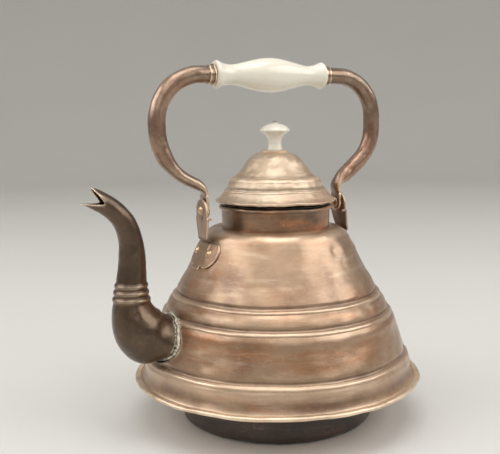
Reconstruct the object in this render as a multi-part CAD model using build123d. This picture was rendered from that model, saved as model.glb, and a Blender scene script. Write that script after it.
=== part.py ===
from build123d import *
import os
from math import atan, cos, degrees, hypot, radians, sin, sqrt

# Copper kettle with a sunken base, a swan-neck spout, a plug lid and a swinging overhead handle.
# Millimetres, +Z up. The origin is the centre of the flat bottom, and the spout points along -X.
# Every height is measured up from the rim plane, which lies BASE_DEPTH above the bottom.

# ---- Body: one raised copper shell in stepped bands ----
RIM_R = 110.0             # outside of the folded seam round the rim
BODY_SHEET = 1.0          # copper sheet of the body
RIM_LAND = 5.0            # width of that seam, in to where the body rises
# radius and height of each crease, then width and drop of the rounded ledge below it
CREASES = ((98.2, 18.9, 2.0, 3.0), (85.8, 52.0, 2.1, 3.0), (77.4, 65.3, 2.2, 2.8))
LEDGE_ROUND = 0.9         # swell of a ledge beyond a straight bevel
FOOT_HOLLOW = 0.8         # how far the foot band curves in
BAND_SWELL = 0.6          # how far the other bands curve out
CONE_FOOT = (68.9, 80.0)  # radius and height where the top band turns into a straight cone
CONE_TOP = (54.8, 108.0)  # radius and height where the cone ends at the shoulder
SHOULDER_RISE = 5.5       # cone's end up to the flat top where the neck stands
SHOULDER_LAND = 5.0       # width of that flat
SHOULDER_SWELL = 1.2      # roundness of the shoulder's edge

# ---- Base: sunken drum, and a flange whose edge is folded over the body's ----
BASE_DEPTH = 33.0         # flat bottom to the middle of the seam
BASE_SHEET = 1.0          # copper sheet of the base
DRUM_R = 74.0             # outside of the sunken drum
DRUM_CORNER = 6.0         # outer corner between the drum and the flat bottom
DRUM_ROOT = 3.0           # outer curve where the drum meets the flange
SEAM_LAP = 2.7            # how far the fold lies back over the body's flange

# ---- Neck and its wired edge ----
NECK_R = 41.0             # outside of the neck
NECK_SHEET = 0.7
NECK_RISE = 15.1          # shoulder to the middle of the rolled top edge
NECK_FLANGE = 4.0         # inside flange that holds the neck under the shoulder
WIRE_R = 0.6              # wire inside the rolled edge
WIRE_PLAY = 0.15          # play of the wire in its roll
BEAD_WRAP = 245.0         # degrees that the sheet wraps round the wire

# ---- Spout: swan neck ----
# one row per section: reach from the axis, height, climb in degrees, half size in the bend, half width
SPOUT_SECTIONS = (
    (78.0, 30.0, 27.0, 17.6, 20.8),
    (96.0, 37.4, 29.0, 18.6, 20.8),
    (109.8, 45.2, 47.0, 20.0, 19.6),
    (114.4, 56.2, 73.0, 16.6, 16.8),
    (115.9, 66.6, 87.0, 13.2, 13.3),
    (115.6, 80.0, 91.0, 10.9, 10.9),
    (114.6, 97.0, 91.0, 9.7, 9.7),
    (115.6, 111.0, 80.0, 8.8, 8.8),
    (119.6, 123.3, 62.0, 8.0, 8.0),
    (126.3, 132.3, 43.0, 7.5, 7.5),
    (134.2, 138.4, 30.0, 7.3, 7.3),
    (151.0, 145.4, 23.0, 6.9, 6.9),
)
SPOUT_SHEET = 0.9
CHANNEL_OVERRUN = 3.0     # how far the cutting channel runs past both ends of the spout
BEAK_LIPS = (0.0, 54.0)   # degrees above level of the edge of the lower and of the upper lip
BEAK_REACH = 40.0         # length of the cutting wedge
RIB_HEIGHTS = (68.4, 73.5, 78.3)   # three raised ribs round the spout
RIB_ROUND = 2.3           # radius of a rib's round back
RIB_PROUD = 0.9           # how far a rib stands out
SOLDER_LEG = 2.4          # width of the solder fillet on the body and on the spout

# ---- Ears: straps that carry the handle, each with two riveted lobes on the cone ----
EAR_SHEET = 1.5
EAR_FOLD_BELOW = 0.6      # top of the cone down to where the strap folds in to it
EAR_STAND_OFF = 5.8       # cone to the outer face of the strap, at its fold
FRONT_EAR_LEAN = 0.3      # head of the front strap outside its foot
REAR_EAR_LEAN = -3.6      # head of the rear strap, which leans in
EAR_CRANK_DROP = 5.0      # where the strap stands upright, below the pivot
PIVOT_RISE = 21.2         # fold to the pivot
EAR_HEAD_R = 10.0         # round head of the strap
EAR_HEAD_DROP = 1.2       # middle of the round head below the pivot
EAR_SHOULDER = 11.2       # half width of the strap at its shoulders
EAR_SHOULDER_DROP = 4.8   # shoulders below the pivot
EAR_WAIST = 8.0           # half width of the strap at its fold
EAR_FOLD_DROP = 1.2       # fall of the folded step
EAR_FOLD_ROUND = 1.0      # bend radius at the middle of the sheet
EAR_LAP_DROP = 7.4        # fold to the lower end of the strap's leg on the lobed plate
STOP_TAB = 2.6            # how far the shoulder tabs are bent in, as stops for the handle
STOP_TAB_HEIGHT = 1.6
LOBE_R = 9.4              # round lobes of the riveted plate
LOBE_SPACING = 22.6       # between the middles of the lobes, and of the rivets in them
LOBE_DROP = 10.2          # fold to the middle of the lobes
TONGUE_WIDTH = 11.0       # tongue between the lobes
TONGUE_DROP = 21.4        # fold to its lower end
RIVET_R = 1.6
RIVET_HEAD_R = 3.0
RIVET_HEAD_RISE = 1.7
RIVET_TAIL_R = 2.7
RIVET_TAIL_RISE = 1.1
RIVET_SETTLE = 0.1        # extra length that keeps the flat tail off the curved wall

# ---- Pivots ----
PIN_R = 2.2
PIN_CLEARANCE = 0.05      # radial running clearance of the tang on its pin
SIDE_CLEARANCE = 0.3      # beside the tang and the grip, and between other moving faces
PIVOT_HEAD_R = 3.4
PIVOT_HEAD_RISE = 2.0
PIVOT_TAIL_R = 3.0
PIVOT_TAIL_RISE = 1.1
WASHER_R = 4.6
WASHER_THICK = 0.8

# ---- Handle: two bent tubes and a porcelain grip on a rod ----
TUBE_R = 6.4
TUBE_WALL = 1.0
GRIP_RISE = 98.3          # pivot to the middle of the grip
GRIP_SHIFT = 3.8          # grip's middle, towards the spout
# The bends and the pressed ends are drawn for ARM_RISE, and stretch up or down with GRIP_RISE.
ARM_RISE = 98.3
# kettle's axis to the middle of the tube at its widest, radius of the top bend, upright stretch,
# radius of the side bend, degrees that it turns in while still round, and round stretch after that
FRONT_BENDS = (93.3, 33.5, 7.5, 33.0, 20.0, 0.5)
REAR_BENDS = (87.4, 32.0, 8.0, 34.0, 49.0, 13.0)
TANG_THICK = 2.2
TANG_WIDTH = 13.4         # flattened end of the tube
# pressed end of each tube, down to the flat tang: distance out from the tang, height above the pivot,
# climb in degrees and half thickness
FRONT_PRESS = (
    (31.3, 41.9, 62.0, 6.2),
    (28.0, 36.0, 52.0, 5.7),
    (21.3, 28.6, 37.0, 4.8),
    (13.9, 23.4, 33.0, 4.4),
    (7.2, 20.1, 31.0, 4.2),
    (3.1, 17.4, 42.0, 3.5),
    (0.7, 14.2, 68.0, 2.2),
    (0.0, 10.8, 90.0, TANG_THICK / 2),
)
REAR_PRESS = (
    (6.1, 19.9, 43.0, 5.7),
    (2.1, 16.8, 52.0, 4.0),
    (-0.5, 13.4, 76.0, 2.2),
    (-0.8, 10.4, 90.0, 1.4),
    (0.0, 6.7, 90.0, TANG_THICK / 2),
)
GRIP_HALF = 45.2          # half the length of the porcelain
GRIP_END_R = 8.6
GRIP_FLARE_R = 10.2
GRIP_FLARE_IN = 1.9       # from each end to its flared ring
GRIP_NECK_R = 7.9
GRIP_NECK_IN = 7.8        # from each end to the foot of its flare
GRIP_WAIST_R = 7.3
GRIP_WAIST_IN = 13.6      # from each end to its waist
GRIP_BELLY_R = 12.8
ROD_R = 2.5
ROD_CLEARANCE = 0.08      # radial running clearance of the grip on its rod
FERRULE_R = 7.7
FERRULE_DISC = 1.4
FERRULE_SLEEVE = 3.6
FERRULE_WALL = 0.8
PLUG_LENGTH = 9.0
PLUG_FLOOR = 2.0          # metal of the plug beyond the end of the rod

# ---- Lid: spun dome, plug sleeve and porcelain knob ----
LID_SHEET = 0.7
LID_OVERHANG = 4.8        # how far the folded brim reaches beyond the neck
LID_RIM_RISE = 4.0        # middle of the neck's bead to the underside of the brim
LID_HEM = 3.0             # how far the edge is folded under
# radius and height above the brim of each crease, then width and drop of the rounded ledge below it
LID_CREASES = ((37.0, 9.6, 1.5, 1.6), (30.8, 18.8, 3.4, 3.4))
LID_FLARE = 0.7           # how far the brim's flare curves in
LID_SWELL = 0.5           # how far the middle band curves out
LID_SHOULDER = (22.8, 28.2)   # radius and height above the brim where the dome starts to round over
LID_DISH = 0.5            # how far the dome curves in below that
LID_CROWN = (11.0, 36.9)  # radius and height above the brim of the flat top's edge
LID_CROWN_SWELL = 1.5
SLEEVE_SHEET = 0.6
SLEEVE_CLEARANCE = 0.4    # radial, inside the neck
SLEEVE_DEPTH = 8.5        # below the middle of the neck's bead
SEAT_HALF = 1.2           # half height of the swaged bead that rests on the neck's edge
SEAT_PROUD = 1.0          # how far that bead stands out
ROSETTE_R = 10.3
ROSETTE_THICK = 1.5
KNOB_HEIGHT = 20.4
KNOB_FOOT_R = 6.1
KNOB_STEM_R = 5.0
KNOB_STEM_AT = 9.0        # foot of the knob to the thinnest part of its stem
KNOB_CAP_R = 11.6
KNOB_EDGE_AT = 14.4       # foot of the knob to the edge of its cap
KNOB_EDGE = 0.9           # thickness of that edge
KNOB_CAP_SWELL = 1.9
KNOB_TOP_R = 3.0          # small flat under the screw's head
SCREW_R = 1.5
SCREW_HEAD_R = 2.8
SCREW_HEAD_RISE = 1.7
LID_WASHER_R = 5.0
LID_WASHER_THICK = 0.8
NUT_ACROSS = 6.0          # across the nut's flats
NUT_THICK = 2.4
SCREW_TAIL = 0.6          # full shank beyond the nut
SCREW_TIP = 0.5           # rounded tip beyond that
SCREW_TIP_R = 1.2

# ---- Sizes that follow from the ones above ----
SEAM_HALF = BODY_SHEET / 2 + BASE_SHEET
SEAM_R = RIM_R - SEAM_HALF
FOOT_R = RIM_R - RIM_LAND
CONE_SLOPE = (CONE_FOOT[0] - CONE_TOP[0]) / (CONE_TOP[1] - CONE_FOOT[1])
CONE_TILT = degrees(atan(CONE_SLOPE))
SHOULDER_HEIGHT = CONE_TOP[1] + SHOULDER_RISE
NECK_BEAD_HEIGHT = SHOULDER_HEIGHT + NECK_RISE
EAR_FOLD_HEIGHT = CONE_TOP[1] - EAR_FOLD_BELOW
EAR_LAP_HEIGHT = EAR_FOLD_HEIGHT - EAR_LAP_DROP
LOBE_HEIGHT = EAR_FOLD_HEIGHT - LOBE_DROP
TONGUE_HEIGHT = EAR_FOLD_HEIGHT - TONGUE_DROP
# kettle's axis to the outer face of the strap, at its foot and at each head
EAR_FOOT_FACE = CONE_TOP[0] + CONE_SLOPE * EAR_FOLD_BELOW + EAR_STAND_OFF
FRONT_EAR_FACE = EAR_FOOT_FACE + FRONT_EAR_LEAN
REAR_EAR_FACE = EAR_FOOT_FACE + REAR_EAR_LEAN
PIVOT_HEIGHT = EAR_FOLD_HEIGHT + PIVOT_RISE
GRIP_HEIGHT = PIVOT_HEIGHT + GRIP_RISE
ARM_STRETCH = GRIP_RISE / ARM_RISE
ROLL_R = WIRE_R + WIRE_PLAY
BEAD_R = NECK_R + ROLL_R
TANG_INSET = EAR_SHEET + SIDE_CLEARANCE + TANG_THICK / 2   # strap's outer face to the tang's middle
WASHER_INSET = TANG_INSET + TANG_THICK / 2 + SIDE_CLEARANCE   # strap's outer face to the washer
TUBE_START = GRIP_HALF + SIDE_CLEARANCE + FERRULE_DISC   # from the grip's middle
SLEEVE_R = NECK_R - NECK_SHEET - SLEEVE_CLEARANCE
BRIM_HALF = LID_SHEET + SLEEVE_SHEET / 2
BRIM_R = NECK_R + LID_OVERHANG - BRIM_HALF
LID_RIM_HEIGHT = NECK_BEAD_HEIGHT + LID_RIM_RISE
LID_TOP = LID_RIM_HEIGHT + LID_CROWN[1]
FLANGE_HEIGHT = LID_RIM_HEIGHT + LID_SHEET
ROSETTE_TOP = LID_TOP + ROSETTE_THICK
KNOB_TOP = ROSETTE_TOP + KNOB_HEIGHT
LID_CEILING = LID_TOP - LID_SHEET
NUT_TOP = LID_CEILING - LID_WASHER_THICK


def point(reach, height):
    """Point in the plane of the spout and the handle."""
    return (reach, 0, BASE_DEPTH + height)


def line(start, end):
    return Line(point(*start), point(*end))


def bowed(start, end, swell):
    """Arc between two points of a profile, swelling to its right by a given height."""
    run, rise = end[0] - start[0], end[1] - start[1]
    chord = hypot(run, rise)
    middle = ((start[0] + end[0]) / 2 + swell * rise / chord, (start[1] + end[1]) / 2 - swell * run / chord)
    return ThreePointArc(point(*start), point(*middle), point(*end))


def turn_arc(centre, radius, start, sweep):
    """Arc about a centre in the same plane, from an angle in degrees and through a sweep."""
    angles = [radians(start + sweep * share) for share in (0, 0.5, 1)]
    return ThreePointArc(*[point(centre[0] + radius * cos(a), centre[1] + radius * sin(a)) for a in angles])


def joined(lines):
    return Wire([edge for piece in lines for edge in piece.edges()])


def turned_sheet(lines, thickness):
    """Spun sheet: the lines are its right-hand face, and the sheet lies to their left."""
    laid_flat = Rot(-90, 0, 0) * joined(lines)
    profile = make_face(offset(laid_flat, thickness, side=Side.LEFT))
    return revolve(Rot(90, 0, 0) * profile, Axis.Z)


def turned_solid(lines):
    return revolve(make_face(joined(lines)), Axis.Z)


def stepped_lines(low, creases, first_swell, swell):
    """Bands that each end in a rounded ledge under a crease, from a low point upwards."""
    lines = []
    for index, (radius, height, width, drop) in enumerate(creases):
        ledge = (radius + width, height - drop)
        lines.append(bowed(low, ledge, swell if index else first_swell))
        low = (radius, height)
        lines.append(bowed(ledge, low, LEDGE_ROUND))
    return lines


def body_lines():
    """Outer line of the body, from the tip of its flange to the neck."""
    foot = (FOOT_R, BODY_SHEET / 2)
    land = (NECK_R + SHOULDER_LAND, SHOULDER_HEIGHT)
    lines = [line((SEAM_R, foot[1]), foot)]
    lines += stepped_lines(foot, CREASES, -FOOT_HOLLOW, BAND_SWELL)
    lines.append(bowed(CREASES[-1][:2], CONE_FOOT, BAND_SWELL))
    lines.append(line(CONE_FOOT, CONE_TOP))
    lines.append(bowed(CONE_TOP, land, SHOULDER_SWELL))
    lines.append(line(land, (NECK_R, SHOULDER_HEIGHT)))
    return lines


def body_core(grow):
    """Solid that fills the body above its flange, with every radius grown by the same amount."""
    outer = Pos(grow, 0, 0) * joined(body_lines()[1:])
    foot, top = outer @ 0, outer @ 1
    lines = [outer, Line(top, (0, 0, top.Z)), Line((0, 0, top.Z), (0, 0, foot.Z)), Line((0, 0, foot.Z), foot)]
    return turned_solid(lines)


def cone_radius(height):
    return CONE_FOOT[0] - CONE_SLOPE * (height - CONE_FOOT[1])


def spout_plane(reach, height, climb):
    """Plane across the spout at a section, facing along its line."""
    outward = (-cos(radians(climb)), 0, sin(radians(climb)))
    return Plane(origin=point(-reach, height), x_dir=(0, 1, 0), z_dir=outward)


def spout_loft(grow, overrun):
    """Loft through the spout's sections, grown by a thickness and run on past both ends."""
    last = len(SPOUT_SECTIONS) - 1
    sections = []
    for index, (reach, height, climb, half_bend, half_width) in enumerate(SPOUT_SECTIONS):
        shift = overrun * {0: -1, last: 1}.get(index, 0)
        plane = spout_plane(reach, height, climb).offset(shift)
        sections.append(plane * Ellipse(half_width + grow, half_bend + grow))
    return loft(sections)


def spout_at(height):
    """Reach and radius of the upright stretch of the spout at a height."""
    for low, high in zip(SPOUT_SECTIONS, SPOUT_SECTIONS[1:]):
        if low[1] <= height <= high[1]:
            share = (height - low[1]) / (high[1] - low[1])
            return low[0] + share * (high[0] - low[0]), low[3] + share * (high[3] - low[3])


def spout_ribs():
    ribs = []
    for height in RIB_HEIGHTS:
        reach, radius = spout_at(height)
        ribs.append(Pos(*point(-reach, height)) * Torus(radius + RIB_PROUD - RIB_ROUND, RIB_ROUND))
    return ribs


def beak_wedge():
    """Wedge that opens the end of the spout into an upper and a lower lip."""
    reach, height = SPOUT_SECTIONS[-2][:2]
    width = 4 * SPOUT_SECTIONS[-1][4]
    apex = (-reach, height)
    lips = []
    for angle in BEAK_LIPS:
        lips.append((apex[0] - BEAK_REACH * cos(radians(angle)), apex[1] + BEAK_REACH * sin(radians(angle))))
    face = make_face(joined([line(apex, lips[0]), line(lips[0], lips[1]), line(lips[1], apex)]))
    return extrude(face, width / 2, both=True)


def rivet(radius, length, head, tail):
    """Rivet along -Z from the face at zero: head and tail are each a radius and a rise."""
    lines = []
    rim = radius
    for (cap_r, rise), face, side in ((head, 0, 1), (tail, -length, -1)):
        ball = (cap_r ** 2 + rise ** 2) / (2 * rise)
        half = sqrt(ball ** 2 - cap_r ** 2 / 4) - ball + rise
        dome = ThreePointArc((0, 0, face + side * rise), (cap_r / 2, 0, face + side * half), (cap_r, 0, face))
        lines += [dome, Line((cap_r, 0, face), (rim, 0, face))]
    lines.append(Line((rim, 0, 0), (rim, 0, -length)))
    lines.append(Line((0, 0, head[1]), (0, 0, -length - tail[1])))
    return revolve(make_face(joined(lines)), Axis.Z)


def tube_along(inner, outer, low, high):
    """Ring about the grip's line, between two distances from the grip's middle."""
    plane = Plane(origin=point(low - GRIP_SHIFT, GRIP_HEIGHT), x_dir=(0, 1, 0), z_dir=(1, 0, 0))
    ring = Circle(outer) - Circle(inner) if inner else Circle(outer)
    return extrude(plane * ring, high - low)


def lobe_rivet_planes():
    """Planes on the outer face of the lobed plate, facing out of the cone, one for each rivet."""
    planes = []
    radius = cone_radius(LOBE_HEIGHT)
    for side in (-1, 1):
        across = side * LOBE_SPACING / 2
        reach = sqrt(radius ** 2 - across ** 2)
        tilt = radians(CONE_TILT)
        facing = Vector(reach * cos(tilt) / radius, across * cos(tilt) / radius, sin(tilt))
        foot = Vector(reach, across, BASE_DEPTH + LOBE_HEIGHT)
        planes.append(Plane(origin=foot + facing * EAR_SHEET, z_dir=facing))
    return planes


def flat_outline(sketch, low, high):
    """Sketch of width against height, pushed through along X between two distances."""
    plane = Plane(origin=(low, 0, BASE_DEPTH), x_dir=(0, 1, 0), z_dir=(1, 0, 0))
    return extrude(plane * sketch, high - low)


def lobed_plate():
    """Plate that hugs the cone, cut to two lobes and a tongue."""
    low, high = TONGUE_HEIGHT - LOBE_R, EAR_FOLD_HEIGHT + LOBE_R
    band = turned_sheet([line((cone_radius(high), high), (cone_radius(low), low))], EAR_SHEET)
    lobes = [Pos(side * LOBE_SPACING / 2, LOBE_HEIGHT) * Circle(LOBE_R) for side in (-1, 1)]
    fold = EAR_FOLD_HEIGHT - EAR_FOLD_DROP
    web = make_face(Polyline((-EAR_WAIST, fold), (EAR_WAIST, fold), (LOBE_SPACING / 2, LOBE_HEIGHT),
                             (TONGUE_WIDTH / 2, TONGUE_HEIGHT + EAR_SHEET), (TONGUE_WIDTH / 2, TONGUE_HEIGHT),
                             (-TONGUE_WIDTH / 2, TONGUE_HEIGHT), (-TONGUE_WIDTH / 2, TONGUE_HEIGHT + EAR_SHEET),
                             (-LOBE_SPACING / 2, LOBE_HEIGHT), (-EAR_WAIST, fold)))
    return band & flat_outline(web + lobes, 0, EAR_FOOT_FACE + LOBE_R)


def strap_outline():
    """Strap seen from outside: waist, shoulders and round head."""
    shoulder = PIVOT_HEIGHT - EAR_SHOULDER_DROP
    middle = PIVOT_HEIGHT - EAR_HEAD_DROP
    bottom = EAR_LAP_HEIGHT - EAR_SHEET
    sides = make_face(Polyline((-EAR_WAIST, bottom), (EAR_WAIST, bottom), (EAR_WAIST, EAR_FOLD_HEIGHT),
                               (EAR_SHOULDER, shoulder), (EAR_HEAD_R, shoulder), (EAR_HEAD_R, middle),
                               (-EAR_HEAD_R, middle), (-EAR_HEAD_R, shoulder), (-EAR_SHOULDER, shoulder),
                               (-EAR_WAIST, EAR_FOLD_HEIGHT), (-EAR_WAIST, bottom)))
    return sides + Pos(0, middle) * Circle(EAR_HEAD_R)


def strap(face):
    """Strap folded in to the cone at its foot, and upright at its head."""
    half = EAR_SHEET / 2
    lean = half / cos(radians(CONE_TILT))
    fold = EAR_FOLD_HEIGHT - EAR_FOLD_DROP
    path = FilletPolyline(point(face - half, PIVOT_HEIGHT + 2 * EAR_HEAD_R),
                          point(face - half, PIVOT_HEIGHT - EAR_CRANK_DROP),
                          point(EAR_FOOT_FACE - half, EAR_FOLD_HEIGHT), point(cone_radius(fold) + lean, fold),
                          point(cone_radius(EAR_LAP_HEIGHT) + lean, EAR_LAP_HEIGHT), radius=EAR_FOLD_ROUND)
    sheet = extrude(make_face(offset(path, half)), EAR_SHOULDER, both=True)
    return sheet & flat_outline(strap_outline(), 0, EAR_FOOT_FACE + EAR_HEAD_R)


def stop_tabs(face):
    """Tabs of the strap's shoulders, bent in beside the tang."""
    top = BASE_DEPTH + PIVOT_HEIGHT - EAR_SHOULDER_DROP
    size = (STOP_TAB + EAR_SHEET, EAR_SHEET, STOP_TAB_HEIGHT)
    middle = face - size[0] / 2
    return [Pos(middle, side * (EAR_SHOULDER - EAR_SHEET / 2), top - STOP_TAB_HEIGHT / 2) * Box(*size)
            for side in (-1, 1)]


def make_ear(face):
    """Ear on +X, with its strap's head at a distance from the kettle's axis."""
    ear = lobed_plate() + strap(face) + stop_tabs(face)
    for plane in lobe_rivet_planes():
        ear -= plane * Cylinder(RIVET_R, 4 * EAR_SHEET)
    pin = Rot(0, 90, 0) * Cylinder(PIN_R, 4 * EAR_SHEET)
    return ear - Pos(*point(face - EAR_SHEET / 2, PIVOT_HEIGHT)) * pin


def make_ear_rivets():
    length = EAR_SHEET + BODY_SHEET + RIVET_SETTLE
    shape = rivet(RIVET_R, length, (RIVET_HEAD_R, RIVET_HEAD_RISE), (RIVET_TAIL_R, RIVET_TAIL_RISE))
    return [plane * shape for plane in lobe_rivet_planes()]


def make_pivot_rivet(face):
    """Pivot rivet on +X: head outside the strap, tail against the washer."""
    length = WASHER_INSET + WASHER_THICK
    shape = rivet(PIN_R, length, (PIVOT_HEAD_R, PIVOT_HEAD_RISE), (PIVOT_TAIL_R, PIVOT_TAIL_RISE))
    return Plane(origin=point(face, PIVOT_HEIGHT), z_dir=(1, 0, 0)) * shape


def make_pivot_washer(face):
    plane = Plane(origin=point(face - WASHER_INSET - WASHER_THICK, PIVOT_HEIGHT), z_dir=(1, 0, 0))
    return extrude(plane * (Circle(WASHER_R) - Circle(PIN_R)), WASHER_THICK)


def make_body_shell():
    shell = turned_sheet(body_lines(), BODY_SHEET) - spout_loft(-SPOUT_SHEET, CHANNEL_OVERRUN)
    drills = [plane * Cylinder(RIVET_R, 6 * EAR_SHEET) for plane in lobe_rivet_planes()]
    return shell - drills - [Rot(0, 0, 180) * drill for drill in drills]


def make_sunken_base():
    """Drum-shaped pan, up to the flange that is soldered round its edge."""
    corner = (DRUM_R - DRUM_CORNER, DRUM_CORNER - BASE_DEPTH)
    lines = [line((0, -BASE_DEPTH), (corner[0], -BASE_DEPTH)), turn_arc(corner, DRUM_CORNER, -90, 90),
             line((DRUM_R, corner[1]), (DRUM_R, -SEAM_HALF - DRUM_ROOT))]
    return turned_sheet(lines, BASE_SHEET)


def make_base_flange():
    """Flange round the drum, its edge folded over the body's flange."""
    root = (DRUM_R + DRUM_ROOT, -SEAM_HALF - DRUM_ROOT)
    lines = [turn_arc(root, DRUM_ROOT, 180, -90), line((root[0], -SEAM_HALF), (SEAM_R, -SEAM_HALF)),
             turn_arc((SEAM_R, 0), SEAM_HALF, -90, 180),
             line((SEAM_R, SEAM_HALF), (SEAM_R - SEAM_LAP, SEAM_HALF))]
    return turned_sheet(lines, BASE_SHEET)


def make_neck_collar():
    """Neck with a flange under the shoulder and a top edge rolled outwards over its wire."""
    inner, foot = NECK_R - NECK_SHEET, SHOULDER_HEIGHT - BODY_SHEET
    flange, under = NECK_R + NECK_FLANGE, foot - NECK_SHEET
    bead = (BEAD_R, NECK_BEAD_HEIGHT)
    roll = turn_arc(bead, ROLL_R, 180, -BEAD_WRAP)
    back = turn_arc(bead, ROLL_R + NECK_SHEET, 180 - BEAD_WRAP, BEAD_WRAP)
    return turned_solid([line((flange, foot), (NECK_R, foot)), line((NECK_R, foot), (NECK_R, NECK_BEAD_HEIGHT)),
                         roll, Line(roll @ 1, back @ 0), back, line((inner, NECK_BEAD_HEIGHT), (inner, under)),
                         line((inner, under), (flange, under)), line((flange, under), (flange, foot))])


def make_neck_rim_wire():
    return Pos(0, 0, BASE_DEPTH + NECK_BEAD_HEIGHT) * Torus(BEAD_R, WIRE_R)


def make_spout():
    spout = spout_loft(0, 0) + spout_ribs()
    return spout - spout_loft(-SPOUT_SHEET, CHANNEL_OVERRUN) - body_core(0) - beak_wedge()


def make_spout_solder():
    """Fillet of solder round the spout's root, on the body's outer face."""
    collar = (spout_loft(SOLDER_LEG, 0) & body_core(SOLDER_LEG)) - body_core(0)
    return collar - spout_loft(0, 0)


def round_path(start, bends):
    """Middle line of a tube, drawn towards +X, from the grip to the end of its round stretch."""
    reach, turn = bends[0], bends[4]
    top_r, straight, side_r, after = [bends[index] * ARM_STRETCH for index in (1, 2, 3, 5)]
    bend = (reach - top_r, GRIP_HEIGHT - top_r)
    side = (reach - side_r, bend[1] - straight)
    across, down = cos(radians(turn)), sin(radians(turn))
    low = (side[0] + side_r * across, side[1] - side_r * down)
    end = (low[0] - after * down, low[1] - after * across)
    lines = [line((start, GRIP_HEIGHT), (bend[0], GRIP_HEIGHT)), turn_arc(bend, top_r, 90, -90),
             line((reach, bend[1]), (reach, side[1])), turn_arc(side, side_r, 0, -turn), line(low, end)]
    return joined(lines), end


def pressed_end(rows):
    """Loft down the arm through its sections: reach, height, climb, half width and half thickness."""
    sections = []
    for reach, height, climb, across, thick in rows:
        facing = (cos(radians(climb)), 0, sin(radians(climb)))
        plane = Plane(origin=point(reach, height), x_dir=(0, 1, 0), z_dir=facing)
        sections.append(plane * Ellipse(across, thick))
    return loft(sections)


def tang(middle, top):
    """Flat end of the arm, with the hole that turns on the pivot."""
    length = top + TANG_THICK / 4
    plate = Pos(0, PIVOT_HEIGHT + length / 2) * Rectangle(TANG_WIDTH, length)
    outline = plate + Pos(0, PIVOT_HEIGHT) * Circle(TANG_WIDTH / 2)
    outline -= Pos(0, PIVOT_HEIGHT) * Circle(PIN_R + PIN_CLEARANCE)
    return flat_outline(outline, middle - TANG_THICK / 2, middle + TANG_THICK / 2)


def make_handle_arm(start, bends, press, face):
    """Arm on +X, from the grip to the tang inside a strap."""
    middle = face - TANG_INSET
    path, end = round_path(start, bends)
    across = Plane(origin=path @ 0, x_dir=(0, 1, 0), z_dir=(1, 0, 0))
    section = across * (Circle(TUBE_R) - Circle(TUBE_R - TUBE_WALL))
    rows = [(*end, 90 - bends[4], TUBE_R, TUBE_R)]
    for out, up, climb, half in press:
        rows.append((middle + out, PIVOT_HEIGHT + up * ARM_STRETCH, climb, TANG_WIDTH / 2, half))
    return sweep(section, path) + pressed_end(rows) + tang(middle, rows[-1][1] - PIVOT_HEIGHT)


def make_ferrule(side):
    """Cap between the porcelain and a tube: +1 for the rear one, -1 for the front one."""
    start, disc_end, sleeve_end = [side * (TUBE_START + step) for step in (-FERRULE_DISC, 0, FERRULE_SLEEVE)]
    cap = tube_along(ROD_R, FERRULE_R, start, disc_end)
    return cap + tube_along(TUBE_R, TUBE_R + FERRULE_WALL, disc_end, sleeve_end)


def make_tube_plug(side):
    """Plug in a tube's end that holds the rod."""
    radius = TUBE_R - TUBE_WALL
    start, floor, end = [side * (TUBE_START + step) for step in (0, PLUG_LENGTH - PLUG_FLOOR, PLUG_LENGTH)]
    return tube_along(ROD_R, radius, start, floor) + tube_along(0, radius, floor, end)


def make_grip_rod():
    half = TUBE_START + PLUG_LENGTH - PLUG_FLOOR
    return tube_along(0, ROD_R, -half, half)


def make_handle_grip():
    """Porcelain grip: swelling belly, waists and flared ends, bored for the rod."""
    def place(along, radius):
        return point(along - GRIP_SHIFT, GRIP_HEIGHT + radius)
    bore = ROD_R + ROD_CLEARANCE
    rings = ((GRIP_FLARE_IN, GRIP_FLARE_R), (GRIP_NECK_IN, GRIP_NECK_R), (GRIP_WAIST_IN, GRIP_WAIST_R))
    waisted = [place(inset - GRIP_HALF, radius) for inset, radius in rings] + [place(0, GRIP_BELLY_R)]
    waisted += [place(GRIP_HALF - inset, radius) for inset, radius in reversed(rings)]
    lines = [Spline(*waisted, tangents=((1, 0, 0), (1, 0, 0)))]
    for side in (-1, 1):
        flare = place(side * (GRIP_HALF - GRIP_FLARE_IN), GRIP_FLARE_R)
        end = place(side * GRIP_HALF, GRIP_END_R)
        lines += [TangentArc(flare, end, tangent=(side, 0, 0)), Line(end, place(side * GRIP_HALF, bore))]
    lines.append(Line(place(-GRIP_HALF, bore), place(GRIP_HALF, bore)))
    return revolve(make_face(joined(lines)), Axis(point(0, GRIP_HEIGHT), (1, 0, 0)))


def make_lid_dome():
    middle = LID_RIM_HEIGHT + BRIM_HALF
    top = (BRIM_R, middle + BRIM_HALF)
    lines = [line((BRIM_R - LID_HEM, LID_RIM_HEIGHT), (BRIM_R, LID_RIM_HEIGHT)),
             turn_arc((BRIM_R, middle), BRIM_HALF, -90, 180)]
    creases = [(radius, LID_RIM_HEIGHT + rise, width, drop) for radius, rise, width, drop in LID_CREASES]
    shoulder, crown = (LID_SHOULDER[0], LID_RIM_HEIGHT + LID_SHOULDER[1]), (LID_CROWN[0], LID_TOP)
    lines += stepped_lines(top, creases, -LID_FLARE, LID_SWELL)
    lines += [bowed(creases[-1][:2], shoulder, -LID_DISH), bowed(shoulder, crown, LID_CROWN_SWELL),
              line(crown, (SCREW_R, LID_TOP))]
    return turned_sheet(lines, LID_SHEET)


def seat_height():
    """Height of the sleeve's bead when it rests just clear of the neck's rolled edge."""
    bead_round = (SEAT_HALF ** 2 + SEAT_PROUD ** 2) / (2 * SEAT_PROUD)
    apart = ROLL_R + NECK_SHEET + bead_round + SIDE_CLEARANCE
    across = BEAD_R - (SLEEVE_R + SEAT_PROUD - bead_round)
    return NECK_BEAD_HEIGHT + sqrt(apart ** 2 - across ** 2)


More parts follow.
